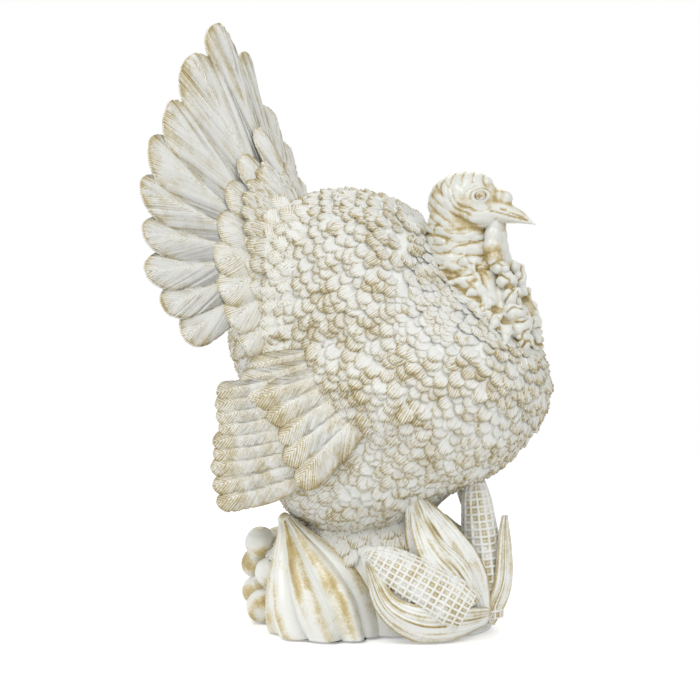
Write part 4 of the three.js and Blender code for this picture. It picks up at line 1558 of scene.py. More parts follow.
@dataclass
class Wing(SubAssembly):
    """Folded wing on a flank: primaries, secondaries over them, tertials on top and a scaled shoulder.

    Feathers are given in the side view, from root to tip, ahead of the body's middle and above it.
    """

    body: Body
    side: Side
    stand_off: float = 65.4
    sunk: float = 3.0
    primary_roots: tuple[Spot, Spot] = ((-27, 6), (-24, -50))
    primary_tips: tuple[Spot, ...] = (
        (-82, -6), (-84, -13), (-84, -20), (-83, -27), (-88, -35), (-88, -42),
        (-90, -50), (-89, -60.5), (-87, -70),
    )
    secondaries: tuple[tuple[Spot, Spot], ...] = (
        ((-8, 6), (-54, -8.5)), ((-3.5, 2), (-47, -18)), ((2.4, -3), (-40, -29.8)),
        ((9, -8), (-38, -42)), ((14, -11), (-31, -55)),
    )
    tertials: tuple[tuple[Spot, Spot], ...] = (
        ((-16, 19), (-61, 10)), ((-12, 14), (-66, 1)), ((-8, 10), (-59, -7)),
    )
    shoulder: Place = (29, 5, 16)
    shoulder_spot: Spot = (3, 0)
    shoulder_tip: float = 27.0
    shoulder_edge: float = 1.3
    shoulder_flow: Place = (-0.55, 0, -0.85)
    shoulder_rows: tuple[float, float, int] = (1.2, -1.18, 11)
    shoulder_pitch: float = 8.0
    shoulder_scale: float = 9.4

    def flank(self, ahead: Array, rise: Array) -> Array:
        """Right flank's Y, which stands off the body towards the tips.

        Args:
            ahead: Places ahead of the middle, in the side view.
            rise: Places above it.

        Returns:
            Y at the places.
        """
        angle = np.degrees(np.arctan2(rise, ahead))
        share = np.minimum(1.1, np.hypot(ahead, rise) / self.body.outline(angle))
        return -self.stand_off * np.sqrt(1 - 0.42 * share**2)

    def laid(self, feather: Feather, root: Spot, tip: Spot, lift: float, bow: float) -> Surface:
        """A feather laid on the flank.

        Args:
            feather: The feather.
            root: Its root in the side view.
            tip: Its tip in the side view.
            lift: Its height over the flank.
            bow: How far its middle sags.

        Returns:
            Its surface, on the bird's right.
        """
        start, way = np.array(root), np.array(tip) - np.array(root)
        across = unit(np.array([-way[1], way[0]]))
        middle = self.body.middle

        def place(points: Array) -> Array:
            """Put the feather's own places on the flank.

            Args:
                points: Places across, along and out of its face.

            Returns:
                The places on the flank.
            """
            share = points[:, 1] / feather.length
            spot = start + share[:, None] * way + points[:, :1] * across
            spot[:, 1] -= 4 * bow * share * (1 - share)
            rise = mix(-self.sunk, lift, smooth(share, 0.0, 0.4))
            y = self.flank(spot[:, 0], spot[:, 1]) - rise - points[:, 2]
            return np.stack([middle[0] + spot[:, 0], y, middle[2] + spot[:, 1]], -1)

        return feather.mesh().mapped(place)

    def feathers(
        self, spots: Sequence[tuple[Spot, Spot]], width: float, lift: Spot, seed: int, bow: float
    ) -> Surface:
        """A group of feathers, each lapping the one below it.

        Args:
            spots: Root and tip of each, from the top one down.
            width: Width of each.
            lift: Height of the first and of the last over the flank.
            seed: Picks their splits.
            bow: How far their middles sag.

        Returns:
            Their surface.
        """
        row = []
        for number, (root, tip) in enumerate(spots):
            length = math.dist(root, tip)
            feather = Feather(
                length, width, root=0.6, full=0.5, tip=min(0.35, 0.5 * width / length), barb=1.3,
                relief=0.8, fall=(0.5, 0.42), thickness=2.6, sweep=2.0, shaft=0.15, skew=0.4,
                seed=seed + number,
            )
            height = mix(lift[0], lift[1], number / max(1, len(spots) - 1))
            row.append(self.laid(feather, root, tip, height, bow))
        return merged(row)

    def primary_spots(self) -> list[tuple[Spot, Spot]]:
        """Roots and tips of the primaries, from the top one down."""
        roots = np.linspace(*self.primary_roots, len(self.primary_tips))
        return [(tuple(root), tip) for root, tip in zip(roots, self.primary_tips)]

    def shoulder_spots(self, rng: np.random.Generator) -> Array:
        """Staggered rows of places on the shoulder, as shares of its half sizes.

        Args:
            rng: Source of their small shifts.

        Returns:
            The places, along and across.
        """
        spots = []
        for row, across in enumerate(np.linspace(*self.shoulder_rows)):
            half = math.sqrt(max(0.4, 1.6 - across**2))
            count = max(3, round(2 * half * self.shoulder[0] / self.shoulder_pitch))
            for k in range(count):
                place = -half + 2 * half * (k + 0.25 + 0.5 * (row % 2)) / count
                spots.append((place + rng.uniform(-0.02, 0.02), across + rng.uniform(-0.03, 0.03)))
        return np.array([spot for spot in spots if np.hypot(*spot) < self.shoulder_edge])

    def shoulder_coat(self, name: str) -> list[bpy.types.Object]:
        """Shoulder with rows of scales that run down and back.

        Args:
            name: Start of the objects' names.

        Returns:
            The scales, and the pad under them.
        """
        rng = np.random.default_rng(21)
        flat = self.shoulder_spots(rng)
        ahead, up = tipped(-self.shoulder_tip)
        halves = np.array([self.shoulder[0], self.shoulder[2]])
        side_view = np.array(self.shoulder_spot) + (flat * halves) @ np.stack([ahead, up])[:, [0, 2]]
        on_skin = np.array([self.body.flank_at(*spot) for spot in side_view])
        bulge = self.shoulder[1] * (1 - (flat**2).sum(1) / self.shoulder_edge**2)
        lean = 2 * self.shoulder[1] / self.shoulder_edge**2 * flat / halves
        normal = self.body.out_at(on_skin)
        points = on_skin + (bulge + 0.6)[:, None] * normal
        out = unit(normal + lean @ np.stack([ahead, up]))
        along = flattened(unit(np.array(self.shoulder_flow)), out)
        size = self.shoulder_scale * rng.uniform(0.85, 1.15, (len(points), 1)) * np.array([1.1, 1.1, 1.0])
        base = ball((0, 0, 0), 0.88 * np.array(self.shoulder), rows=24, columns=40)
        middle = self.body.flank_at(*self.shoulder_spot)
        pad = replace(base, gilt=0.4 * base.gilt)
        pad = pad.mapped(lambda places: middle + places @ np.stack([ahead, -ACROSS, up])).on(self.side)
        mirror = np.array([1.0, -self.side.value, 1.0])
        coat = Plumage(points * mirror, out * mirror, along * mirror, size, 5).coat(name + "_scales", SCALE)
        return [coat, pad.written(name + "_pad")]

    def build(self) -> None:
        """Make the wing."""
        primaries = self.primary_spots()
        over = (
            self.feathers(self.secondaries, width=17.0, lift=(7.4, 4.0), seed=240, bow=0.6),
            self.feathers(self.tertials, width=15.0, lift=(0.5, 6.8), seed=260, bow=2.0),
        )
        groups = {
            "primaries": self.feathers(primaries, width=13.0, lift=(6.0, 0.5), seed=200, bow=2.0),
            "secondaries": merged(over),
        }
        for label, form in groups.items():
            self.cast(f"{self.side.word}_wing_{label}", form.on(self.side), PINION, Slot.PLUMAGE)
        node = f"{self.side.word}_wing_shoulder"
        self.dress(joined(f"{node}_cast", self.shoulder_coat(node)), SCALE, Slot.PLUMAGE, node)


# Neck and head


@dataclass
class NeckAndHead(SubAssembly):
    """Bare neck and head with folds, lidded eyes, a hooked beak and a small snood.

    Places are ahead of the head's middle, to its side and above it. Lumps are middles and half sizes.
    """

    spine: tuple[Place, ...] = ((-3, 0, 0), (-4, 0, -18), (0, 0, -38), (12, 0, -58), (24, 0, -78))
    drapes: tuple[tuple[Place, Place], ...] = (
        ((7, -10.5, -31), (-12.5, -13.5, -38)), ((13, -11.5, -37), (-7, -16.5, -46.5)),
        ((17, -12.5, -45), (3, -21, -55)), ((21, -13.5, -52), (13, -24, -64.5)),
        ((25, -14, -59), (22.5, -25.2, -72.5)), ((29, -14, -66), (31.5, -24.8, -80)),
    )
    neck_depth: Spot = (16, 21)
    neck_width: Spot = (12.5, 21.5)
    snood: Place = (24.2, 0, 3.2)
    lumps: tuple[tuple[Place, Place], ...] = (
        ((0, 0, 0), (21, 14, 17.5)), ((9, 0, -6), (13, 12.5, 8.5)), ((12, 0, 3), (9, 9.5, 9)),
        ((2, 0, 11), (15, 9.5, 7)), (snood, (4.4, 4, 4.4)), ((20.5, 0, 4), (5, 5, 4.4)),
    )
    beak_root: Place = (15, 0, -3)
    beak_reach: float = 27.0
    beak_height: float = 7.2
    eye: Place = (13, 11, 4.6)
    eye_radius: float = 2.7
    eye_sunk: float = 0.9

    def clay(self) -> Surface:
        """Blended forms.

        Returns:
            Their skin, about the head's middle.
        """
        shares = np.linspace(0, 1, 40)
        depth, width = mix(*self.neck_depth, shares), mix(*self.neck_width, shares**1.5)
        neck = tube(spline(self.spine, shares), depth, width)
        share = np.linspace(0, 1, 24)
        hook = spline(((0, 0, 0), (0.6, 0, -3.8), (1, 0, -8.4)), share) * [self.beak_reach, 1, 1]
        taper = self.beak_height * np.maximum(0.14, 1 - share**1.3)
        beak = tube(np.array(self.beak_root) + hook, taper, taper * mix(1.15, 0.8, share))
        forms = [neck, beak, *(ball(middle, halves) for middle, halves in self.lumps)]
        for start, tip in self.drapes:
            line = mix(np.array(start), np.array(tip), share[:, None])
            drape = tube(line, mix(5.6, 1.4, share), mix(5.2, 1.8, share))
            forms += [drape, drape.mirrored()]
        return fused(forms, voxel=0.8, soften=7, name="head_clay")

    def skin_folds(self, points: Array, warp: Array) -> Array:
        """Folds of the neck, the nape and the crown.

        Args:
            points: Places on the clay.
            warp: How far the folds wander there.

        Returns:
            Height of the folds, in millimetres.
        """
        x, y, z = points.T
        above_foot = 1 - smooth(-z, 72, 84)
        lower = smooth(-z - 0.3 * x, 9, 18) * above_foot
        slope = z + mix(0.12, 0.75, smooth(-z, 40, 60)) * x + warp
        height = 0.7 * lower * pleats(slope, 7.2)
        slant = np.column_stack([0.44 * x + 0.2 * z, 0.45 * y, z - mix(0.1, -0.5, smooth(-z, 36, 56)) * x])
        for size, seed, deep in ((5.6, 33, 1.6), (3.2, 36, 0.5)):
            height = height + deep * lower * crumples(slant, size, seed)
        drape = crumples(points * [0.6, 0.6, 1.0], 6.0, 38)
        height = height + 1.3 * drape * smooth(-z, 32, 42) * above_foot
        nape = smooth(-x, -2, 8) * smooth(z, -20, -8) * (1 - smooth(z, 10, 16))
        height = height + 0.7 * nape * pleats(0.8 * x + z + 0.5 * warp, 7.0)
        height = height + 0.9 * pleats(x + 0.25 * z + 0.6 * warp, 5.5) * smooth(z, 7, 12)
        return height + 0.1 * ripple(points, 3.0, 34)

    def eye_folds(self, points: Array, warp: Array) -> Array:
        """Lids, brow and the creases that ring the eye below and behind.

        Args:
            points: Places on the clay.
            warp: How far the folds wander there.

        Returns:
            Height of the folds, in millimetres.
        """
        x, y, z = points.T
        ex, ez = x - self.eye[0], z - self.eye[2]
        almond = np.hypot(ex / 3.9, (ez - 0.06 * ex) / 2.7) + 0.03 * np.abs(ex)
        arch = 0.6 * bell(almond, 1.9, 0.25) * smooth(ez - 0.3 * ex, -0.5, 2.0)
        pit = 0.9 * (1 - smooth(almond, 0.75, 0.98))
        brow = bell(ez + 0.05 * ex**2, 7.0, 1.1) * (1 - smooth(np.abs(ex), 6, 11))
        lids = 0.9 * bell(almond, 1.1, 0.22) + arch - pit + 0.8 * brow
        theta = np.degrees(np.arctan2(ez, ex)) % 360
        ring = np.hypot(ex, ez) + 0.35 * warp - 0.16 * np.maximum(0, 230 - theta)
        creases = sum(bell(ring, far, 0.65) for far in (7.6, 11.0, 15.5))
        creases = creases * smooth(theta, 158, 178) * (1 - smooth(theta, 290, 325)) * smooth(z, -20, -14)
        creases = 0.8 * creases * (0.6 + 0.5 * ripple(points, 12.0, 37))
        return smooth(np.abs(y), 5.5, 8.0) * lids - creases

    def beak_lines(self, points: Array) -> Array:
        """Mouth, the ridge over it and the nostrils.

        Args:
            points: Places on the clay.

        Returns:
            Depth of the lines, in millimetres.
        """
        x, y, z = points.T
        line = -4.8 - 0.27 * (x - 22)
        mouth = bell(z, line, 0.7) * smooth(x, 16, 20) * (1 - smooth(x, 38, 40))
        ridge = bell(z - line + 0.12 * (x - 24), 2.6, 0.6) * smooth(x, 21, 24) * (1 - smooth(x, 34, 38))
        nostril = bell(x, 25.5, 1.8) * bell(z, -2.6, 0.9)
        out = np.abs(y)
        return 0.9 * (mouth + 0.7 * ridge) * smooth(out, 0.6, 2.0) + 0.8 * nostril * smooth(out, 1.0, 2.0)

    def build(self) -> None:
        """Make the neck and head."""
        clay = self.clay()
        points = clay.points
        warp = 2.6 * ripple(points, 18.0, 31) + 0.4 * ripple(points, 8.0, 32)
        height = self.skin_folds(points, warp) + self.eye_folds(points, warp) - self.beak_lines(points)
        clay = clay.raised(height)
        x, _, z = clay.points.T
        gilt = 0.38 - 0.9 * crests(clay, 2) - 1.4 * crests(clay, 9) + 0.26 * ripple(clay.points, 9.0, 35)
        snood = np.linalg.norm(clay.points - np.array(self.snood) - [0.0, 0.0, 2.5], axis=1)
        gilt = gilt + 0.4 * smooth(x, 20, 30) * smooth(z, -16, -8) + 0.55 * bell(snood, 0.0, 4.6)
        # More gold over the top of the head: partly the crown's own gold strokes, partly painted shade that
        # tones down the top, which the lamps light most
        gilt = gilt + 0.26 * smooth(z, 10, 15)
        forms = [replace(clay, gilt=np.clip(gilt, 0, 1))]
        ahead, out, rise = self.eye
        for side in Side:
            eye = ball((ahead, side.value * (out - self.eye_sunk), rise), (self.eye_radius,) * 3)
            forms.append(replace(eye, gilt=0.35 + 0.6 * (np.abs(eye.points[:, 1]) > out + 1.4)))
        self.cast("neck_and_head", merged(forms).moved(HEAD_MIDDLE), SKIN, Slot.SKIN)


@dataclass
class Wattle(SubAssembly):
    """Two strands of fleshy beads that hang from the throat down the breast, smooth at the top.

    Beads are places ahead of the head's middle, to its side and above it, and radii.
    """

    smooth_beads: int = 4
    left_ahead: float = 1.6
    strand: tuple[Bead, ...] = (
        (18.5, 1.8, -12, 4.2), (18, 2.4, -18, 5.2), (18, 3.4, -25, 5.8), (19.5, 4.8, -31, 5.4),
        (24.5, 7, -35, 4.2), (27, 7.5, -42, 5.2), (30, 8, -50, 5.8), (32.5, 8.5, -59, 6.2),
        (34.5, 8.5, -68, 6.4), (36, 8, -76, 5.8),
    )

    def lobe(self, side: Side) -> Surface:
        """One strand of beads, blended.

        Args:
            side: The strand's side.

        Returns:
            Its surface, about the head's middle.
        """
        rng = np.random.default_rng(50 + side.value)
        forms = []
        for number, (ahead, out, rise, radius) in enumerate(self.strand):
            middle = np.array([ahead + self.left_ahead * (side is Side.LEFT), side.value * out, rise])
            if number < self.smooth_beads:
                forms.append(ball(middle, np.array([radius, radius, 1.3 * radius])))
                continue
            middle = middle + rng.uniform(-0.8, 0.8, 3)
            forms.append(ball(middle, radius * rng.uniform(0.9, 1.1, 3)))
            knob = middle + [rng.uniform(1, 4), side.value * rng.uniform(1, 4), rng.uniform(-3, 3)]
            forms.append(ball(knob, np.full(3, radius * rng.uniform(0.45, 0.62))))
        clay = fused(forms, voxel=0.7, soften=3, name="wattle_clay")
        lumpy = smooth(-clay.points[:, 2], 28, 38)
        lumps = ripple(clay.points, 5.0, 60 + side.value)
        cleft = bell(lumps, 0.0, 0.3) * lumpy
        made = clay.raised(lumpy * (0.9 * np.minimum(np.abs(lumps), 1.2)) - 1.3 * cleft)
        gilt = 0.32 + 0.5 * cleft - 1.4 * crests(made, 4) + 0.36 * ripple(made.points, 7.0, 70)
        return replace(made, gilt=np.clip(gilt, 0, 1))

    def build(self) -> None:
        """Make both strands."""
        for side in Side:
            self.cast(f"wattle_{side.word}", self.lobe(side).moved(HEAD_MIDDLE), SKIN, Slot.SKIN)


# Harvest produce


@dataclass
class Gourds(SubAssembly):
    """Ribbed gourd on each side of the plinth, leaning back."""

    foot: Place = (-12, 37, 0.35)
    lean: Place = (-0.48, -0.08, 1)
    height: float = 70.0
    radius: float = 32.5
    swell: float = 1.03
    ribs: int = 9
    groove: float = 7.0
    buried: float = 15.0
    rows: int = 90
    columns: int = 240
    stem: Place = (5, 5, 4)
    shape: tuple[Spot, ...] = (
        (0, 0.8), (0.16, 0.9), (0.26, 0.99), (0.36, 1), (0.5, 0.9), (0.67, 0.68), (0.83, 0.4),
        (0.93, 0.21), (1, 0.13),
    )

    def form(self, side: Side) -> Surface:
        """One gourd.

        Args:
            side: The gourd's side.

        Returns:
            Its surface.
        """
        up, turn = np.linspace(0, 1, self.rows)[:, None], round_turn(self.columns)
        warp = 0.16 * np.sin(3 * turn + 1.0) + 0.08 * np.sin(5 * turn + 2.5 * up)
        rib = np.abs(np.sin(0.5 * self.ribs * turn + warp)) ** 0.75
        depth = self.groove * np.sin(np.pi * np.clip(0.3 + 0.68 * up, 0, 1)) ** 0.8
        cord = 0.5 * np.sin(2 * self.ribs * turn + 3 * warp) * rib
        radius = self.radius * profile(self.shape, up, 60) * self.swell
        radius = radius - depth * (1 - rib) + cord * (1 - up)
        streak = sheet_ripple(turn * 28.0, up * 9.0, 3.2, 80)
        patches = sheet_ripple(turn * 28.0, up * 27.0, 16.0, 81)
        gilt = 0.12 + smooth(rib, 0.3, 0.9) * (0.5 + 0.18 * streak + 0.26 * patches) + 0.06 * streak
        mirror = np.array([1, side.value, 1])
        foot, way = self.foot * mirror, unit(self.lean * mirror)
        body = turned(foot - self.buried * way, foot + self.height * way, radius, gilt)
        # Painted light: the gourd's front sits in shade, away from the lamps, so it gets less gold and
        # reads lighter
        body = replace(body, gilt=body.gilt * (1 - 0.6 * smooth(body.points[:, 0], 2.0, 16.0)))
        stem = ball(foot + (self.height - 1) * way, self.stem, rows=24, columns=36)
        knobs = ripple(stem.points, 4.0, 83)
        return merged([on_table(body), replace(stem.raised(knobs), gilt=0.5 + 0.3 * knobs)])

    def build(self) -> None:
        """Make both gourds."""
        for side in Side:
            self.cast(f"gourd_{side.word}", self.form(side), RIND, Slot.PRODUCE)


@dataclass
class Cob(SubAssembly):
    """Ear of corn, whose kernels are pits in a raised net."""

    node: str
    butt: Place
    lean: Place
    length: float
    radius: float
    round_count: int
    long_count: int
    relief: float = 1.5
    pith: float = 0.5
    shape: tuple[Spot, ...] = ((0, 0.8), (0.15, 1), (0.55, 0.97), (0.8, 0.78), (0.93, 0.5), (1, 0.22))

    def build(self) -> None:
        """Make the ear."""
        rows, columns = 12 * self.long_count, 8 * self.round_count
        up = np.linspace(0, 1, rows)[:, None]
        turn = np.linspace(0, 1, columns, endpoint=False)[None, :]
        round_cell, long_cell = np.broadcast_arrays(
            np.abs(self.round_count * turn % 1 - 0.5), np.abs(self.long_count * up % 1 - 0.5)
        )
        rib = smooth(np.maximum(round_cell, long_cell), 0.26, 0.42)
        kernel = bell(round_cell, 0.0, 0.22) * bell(long_cell, 0.0, 0.22)
        radius = self.radius * profile(self.shape, up, rows // 3)
        radius = radius - self.relief * (1 - rib) + self.pith * kernel
        worn = sheet_ripple(turn * 70.0, up * 70.0, 6.0, 90)
        gilt = 0.16 + 0.62 * (1 - rib) * (1 - 0.5 * kernel) + 0.14 * worn
        base = np.array(self.butt)
        form = turned(base, base + unit(np.array(self.lean)) * self.length, radius, gilt)
        self.cast(self.node, form, CORN, Slot.PRODUCE)


@dataclass
class Grapes(SubAssembly):
    """Bunch of grapes round the back of the plinth: each one's place and radius."""

    bunch: tuple[Bead, ...] = (
        (-65, -15, 46, 9), (-74, 0, 31, 9), (-57, -21, 30, 8.55), (-69, -12, 17, 8.55),
        (-61, -21, 10, 9.9), (-67, 12, 18, 9), (-60, 22, 10, 9.9), (-66, 13, 42, 9),
    )
    dimple: float = 2.6

    def build(self) -> None:
        """Make the grapes."""
        for number, (x, y, z, radius) in enumerate(self.bunch, 1):
            berry = ball((0, 0, 0), (radius,) * 3, rows=36, columns=56)
            lumps, worn = (ripple(berry.points, 8.0, seed + number) for seed in (300, 320))
            away = np.linalg.norm(berry.points - [-0.9 * radius, 0, 0.3 * radius], axis=1)
            end = bell(away, 0.0, self.dimple)
            points = berry.points * (1 + 0.018 * lumps - 0.06 * end)[:, None] + [x, y, z]
            gilt = np.clip(0.44 + 0.5 * worn + 0.3 * end, 0, 1)
            grape = on_table(replace(berry, points=points, gilt=gilt))
            self.cast(f"grape_{number}", grape, RIND, Slot.PRODUCE)


@dataclass
class Husk(SubAssembly):
    """Corn husk leaf: a veined blade along a curve, drawn to a point."""

    node: str
    curve: tuple[Place, ...]
    face: Place
    width: float
    seed: int
    thickness: float = 2.4
    camber: float = 0.3
    veins: int = 9
    rows: int = 64
    columns: int = 49
    back_shares: tuple[float, ...] = (0.98, 0.5, 0, -0.5, -0.98)

    def build(self) -> None:
        """Make the leaf."""
        up = 1 - (1 - np.linspace(0, 1, self.rows)) ** 1.3
        line = spline(self.curve, up)[:, None]
        way = unit(np.gradient(line[:, 0], axis=0))
        across = unit(np.cross(np.array(self.face), way))
        out = np.cross(way, across)[:, None]
        half = 0.5 * self.width * np.maximum(0.12, np.sin(np.pi * mix(0.16, 0.97, up)) ** 0.8)
        edge = (half * (1 + 0.05 * np.sin(9 * up + self.seed)))[:, None]
        reach = edge[..., None] * across[:, None]
        share, under = np.linspace(-1, 1, self.columns), np.array(self.back_shares)
        drift = sheet_ripple(share * 12.0, up[:, None] * 7.0, 6.0, self.seed)
        streak = sheet_ripple(share * 12.0, up[:, None] * 4.2, 1.5, self.seed + 1)
        vein = np.abs(np.sin(0.5 * np.pi * self.veins * share + 0.7 * drift)) ** 0.7
        bend = self.camber * half[:, None]
        rise = 0.5 * self.thickness - bend * share**2 + 0.7 * (vein - 0.6) + 0.2 * streak
        rise = rise - 0.5 * smooth(np.abs(share), 0.85, 1.0)
        drop = self.thickness * (0.3 * np.abs(under) - 0.5) - bend * under**2
        sheets = [line + reach * s[:, None] + out * h[..., None] for s, h in ((share, rise), (under, drop))]
        gilt = 0.32 + 0.28 * (vein - 0.5) + 0.32 * streak + 0.12 * drift
        gilt = gilt + 0.3 * smooth(np.abs(share), 0.86, 1.0)
        gilt = np.concatenate([gilt, np.full(drop.shape, 0.35)], 1)
        self.cast(self.node, on_table(skin(np.concatenate(sheets, 1), gilt)), HUSK, Slot.PRODUCE)


# Leaves: node, curve from the foot to the tip, way that the face looks, and width
HUSKS = (
    ("husk_lower", ((72, -14, 11), (64, -36, 10), (46, -51, 11), (28, -57, 22), (16, -55, 46)),
     (0.1, -1, -0.2), 22),
    ("husk_upper", ((70, -27, 22), (60, -34, 38), (48, -37, 52), (32, -26, 74)), (0.5, -0.8, 0.6), 22),
    ("husk_broad", ((69, -15, 8), (63, -21, 33), (53, -27, 56), (31, -25, 82)), (0.6, -1, 0.3), 24),
    ("husk_inner", ((54, -24, 16), (44, -31, 46), (32, -27, 82)), (0.2, -1, 0), 27),
    ("husk_front", ((71, -5, 6), (79, 0, 31), (77, 2, 67)), (1, -0.3, 0), 17.6),
    ("husk_left_broad", ((66, 14, 8), (66, 20, 33), (58, 25, 56), (42, 27, 76)), (0.7, 1, 0.3), 24.2),
    ("husk_left_lower", ((64, 19.2, 10), (48, 37.6, 11), (28, 43.2, 22), (14, 39.2, 46)),
     (0.2, 1, -0.1), 22),
)


# Stand


@dataclass
class Stand(SubAssembly):
    """Mound that carries the bird, with its felt, and the plug and dowels hidden inside."""

    frame: dict[str, Any]
    half_length: float = 68.0
    half_width: float = 40.0
    height: float = 62.0
    mean_radius: float = 55.0
    skirt_rows: tuple[float, ...] = (1.04, 0.95, 0.86, 0.78)
    skirt_count: int = 30
    rows: int = 60
    columns: int = 200

    def outline(self, up: Any, turn: Array) -> tuple[Array, Array]:
        """Outline of the mound.

        Args:
            up: Share of its height.
            turn: Angles round it.

        Returns:
            X and Y at the angles.
        """
        share = 1 - 0.35 * up**3
        x, y = (np.sign(v) * np.abs(v) ** 0.8 for v in (np.cos(turn), np.sin(turn)))
        return share * self.half_length * x, share * self.half_width * y

    def skirt(self) -> Plumage:
        """Last rows of the belly's scales, which run down over the mound's shoulder.

        Returns:
            The coat.
        """
        rng = np.random.default_rng(27)
        count = self.skirt_count
        points, ways = [], []
        for row, up in enumerate(self.skirt_rows):
            turn = 2 * np.pi * (np.arange(count) + 0.5 * (row % 2) + rng.uniform(-0.2, 0.2, count)) / count
            points.append(np.column_stack([*self.outline(up, turn), np.full(count, up * self.height)]))
            x, y = np.cos(turn) / self.half_length, np.sin(turn) / self.half_width
            ways.append(np.column_stack([x, y, np.full(count, 0.012)]))
        out = unit(np.vstack(ways))
        along = flattened(np.array([0.0, 0.0, -1.0]), out)
        size = rng.uniform(10.0, 13.0, (len(out), 1)) * np.array([1.1, 1.0, 1.0])
        return Plumage(np.vstack(points), out, along, size, 29)

    def mound(self) -> Surface:
        """The mound, with soft folds.

        Returns:
            Its surface.
        """
        up, turn = np.linspace(0, 1, self.rows)[:, None], round_turn(self.columns)
        rings = np.stack([*self.outline(up, turn), mix(GLUE_LINE, self.height, up) + 0 * turn], -1)
        folds = sheet_ripple(turn * self.mean_radius, up * 20.0, 7.0, 400)
        streak = sheet_ripple(turn * self.mean_radius, up * 10.0, 2.4, 401)
        bumps = (folds + 0.35 * streak - 1.2) * smooth(up, 0.0, 0.08)
        rings[..., :2] *= (1 + bumps / self.mean_radius)[..., None]
        return skin(rings, 0.34 + 0.16 * folds + 0.22 * streak)

    def build(self) -> None:
        """Make the mound and dress the solids that stay as they are."""
        self.cast("plinth", self.mound(), STONE, Slot.BASE)
        # The belly scales take the lighter belly finish, painted light for the shade under the belly
        self.dress(self.skirt().coat("belly_scales", BELLY_PAINTED_LIGHT), BELLY_PAINTED_LIGHT, Slot.BASE, "plinth")
        kept = {"base_felt": FELT, "pour_plug": STONE}
        kept |= dict.fromkeys(("neck_dowel", "tail_dowel_right", "tail_dowel_left"), BEECH)
        for node, finish in kept.items():
            solid = self.frame["nodes"][node]
            solid.data.materials.clear()
            solid.data.materials.append(finish.material())
            LOG.info("%s: CAD solid, in %s", node, finish.name)


# Studio


@dataclass(frozen=True)
class Lamp:
    """Square soft box.

    Attributes:
        name: Its name.
        way: Azimuth and elevation from the aim.
        distance: From the aim.
        size: Side of the box.
        watts: Power.
    """

    name: str
    way: Spot
    distance: float
    size: float
    watts: float


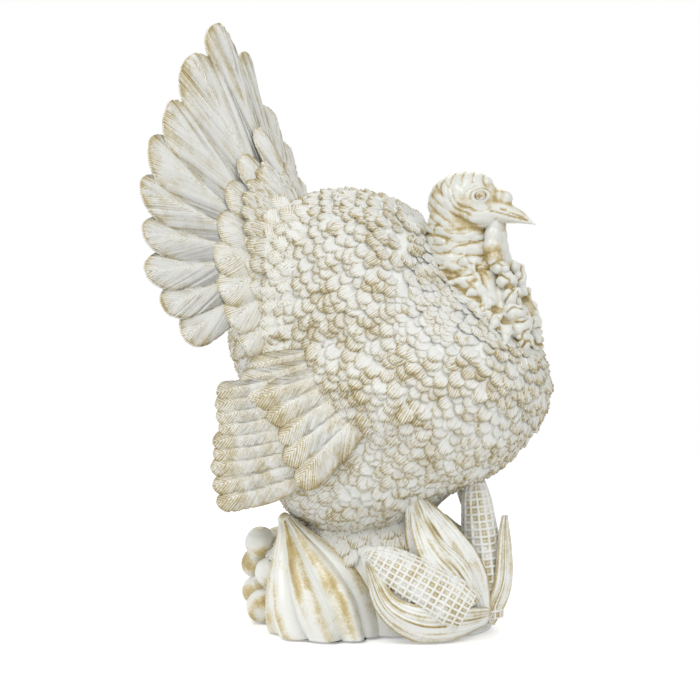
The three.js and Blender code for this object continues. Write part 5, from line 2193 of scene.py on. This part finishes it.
@dataclass
class Studio:
    """White sweep, soft lamps and the camera that took the photograph's view."""

    aim: Place = (-13.4, -5.1, 162)
    azimuth: float = 21.0
    elevation: float = 4.3
    distance: float = 1350.0
    lens: float = 121.6
    sight: float = 20000.0
    floor_size: float = 3000.0
    paper: str = "#ffffff"
    room: float = 0.58
    glow: float = 0.3
    fade: Spot = (320, 900)
    lamps: tuple[Lamp, ...] = (
        Lamp("key", (-14, 50), 1500, 700, 5.3), Lamp("fill", (58, 40), 1700, 1200, 7),
        Lamp("low", (8, 4), 1600, 1100, 3.2), Lamp("side", (-64, 14), 1600, 900, 2.8),
        Lamp("rim", (200, 45), 1600, 900, 3),
    )

    def put(self, made: bpy.types.Object, azimuth: float, elevation: float, distance: float) -> None:
        """Put an object round the aim, looking at it.

        Args:
            made: The object.
            azimuth: Angle round the aim, from the bird's right towards its front.
            elevation: Angle above the aim.
            distance: From the aim.
        """
        a, e = math.radians(azimuth), math.radians(elevation)
        way = np.array([math.sin(a) * math.cos(e), -math.cos(a) * math.cos(e), math.sin(e)])
        place = np.array(self.aim) + distance * way
        made.location = Vector(place * MM)
        made.rotation_euler = Vector(np.array(self.aim) - place).to_track_quat("-Z", "Y").to_euler()

    def light(self, lamp: Lamp) -> None:
        """Add a lamp.

        Args:
            lamp: The lamp.
        """
        light = bpy.data.lights.new(lamp.name, "AREA")
        light.size = lamp.size * MM
        light.energy = lamp.watts
        self.put(linked(lamp.name, light), *lamp.way, lamp.distance)

    def white_for_camera(self, tree: bpy.types.NodeTree) -> bpy.types.NodeSocket:
        """Tell rays that show the backdrop from those that light the object.

        Args:
            tree: Tree that gets the nodes.

        Returns:
            1 on rays that the camera, a mirror or glass sends, 0 on others.
        """
        path = add_node(tree, "ShaderNodeLightPath").outputs
        seen = path["Is Camera Ray"]
        for label in ("Is Glossy Ray", "Is Transmission Ray"):
            rays = {0: seen, 1: path[label]}
            seen = add_node(tree, "ShaderNodeMath", rays, operation="MAXIMUM").outputs[0]
        return seen

    def world(self) -> None:
        """White backdrop, and a weaker room light."""
        world = bpy.data.worlds.new("studio")
        world.use_nodes = True
        tree = world.node_tree
        tree.nodes.clear()
        levels = {"Factor": self.white_for_camera(tree), 2: self.room, 3: 1.0}
        strength = add_node(tree, "ShaderNodeMix", levels)
        paper = {"Color": linear(self.paper), "Strength": strength.outputs[0]}
        sky = add_node(tree, "ShaderNodeBackground", paper)
        add_node(tree, "ShaderNodeOutputWorld", {"Surface": sky.outputs[0]})
        bpy.context.scene.world = world

    def floor(self) -> None:
        """White paper floor that keeps the shadow."""
        half = self.floor_size / 2 * MM
        mesh = bpy.data.meshes.new("studio_floor")
        corners = [(-half, -half, 0), (half, -half, 0), (half, half, 0), (-half, half, 0)]
        mesh.from_pydata(corners, [], [(0, 1, 2, 3)])
        paper = bpy.data.materials.new("studio_paper")
        paper.use_nodes = True
        paper.node_tree.nodes.clear()
        node = partial(add_node, paper.node_tree)
        white = {"Color": linear(self.paper)}
        chalk = node("ShaderNodeBsdfDiffuse", white)
        seen = self.white_for_camera(paper.node_tree)
        level = node("ShaderNodeMath", {0: seen, 1: self.glow}, operation="MULTIPLY")
        glow = node("ShaderNodeEmission", white | {"Strength": level.outputs[0]})
        sheet = node("ShaderNodeAddShader", {0: chalk.outputs[0], 1: glow.outputs[0]})
        # The paper fades into the backdrop, so that no horizon shows
        here = node("ShaderNodeTexCoord").outputs["Object"]
        away = node("ShaderNodeVectorMath", {0: here}, operation="LENGTH").outputs["Value"]
        ends = {"Value": away, "From Min": self.fade[0] * MM, "From Max": self.fade[1] * MM}
        gone = node("ShaderNodeMapRange", ends, interpolation_type="SMOOTHSTEP")
        clear = node("ShaderNodeBsdfTransparent")
        faded = node("ShaderNodeMixShader", {0: gone.outputs[0], 1: sheet.outputs[0], 2: clear.outputs[0]})
        node("ShaderNodeOutputMaterial", {"Surface": faded.outputs[0]})
        mesh.materials.append(paper)
        linked("studio_floor", mesh)

    def camera(self) -> None:
        """Camera at the photograph's viewing angle."""
        camera = bpy.data.cameras.new("camera")
        camera.lens = self.lens
        camera.clip_end = self.sight * MM
        made = linked("camera", camera)
        self.put(made, self.azimuth, self.elevation, self.distance)
        bpy.context.scene.camera = made

    def build(self) -> None:
        """Make the studio."""
        bpy.context.scene.view_settings.view_transform = "Standard"
        self.world()
        self.floor()
        for lamp in self.lamps:
            self.light(lamp)
        self.camera()


def main() -> None:
    """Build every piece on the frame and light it."""
    logging.basicConfig(level=logging.INFO, format="%(message)s")
    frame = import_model()
    body = Body()
    groups: list[SubAssembly] = [
        body,
        Tail(body),
        Wing(body, Side.RIGHT),
        Wing(body, Side.LEFT),
        NeckAndHead(),
        Wattle(),
        Gourds(),
        Cob("corn_front", (68, -36, 18), (-0.87, -0.19, 0.48), 66, 14.6, round_count=22, long_count=15),
        Cob("corn_standing", (68, 0, 8.1), (-0.115, 0.038, 1), 85, 11.2, round_count=13, long_count=20),
        Grapes(),
        *(Husk(*leaf, 500 + 7 * k) for k, leaf in enumerate(HUSKS)),
        Stand(frame),
    ]
    for group in groups:
        group.build()
    Studio().build()


if __name__ == "__main__":
    main()
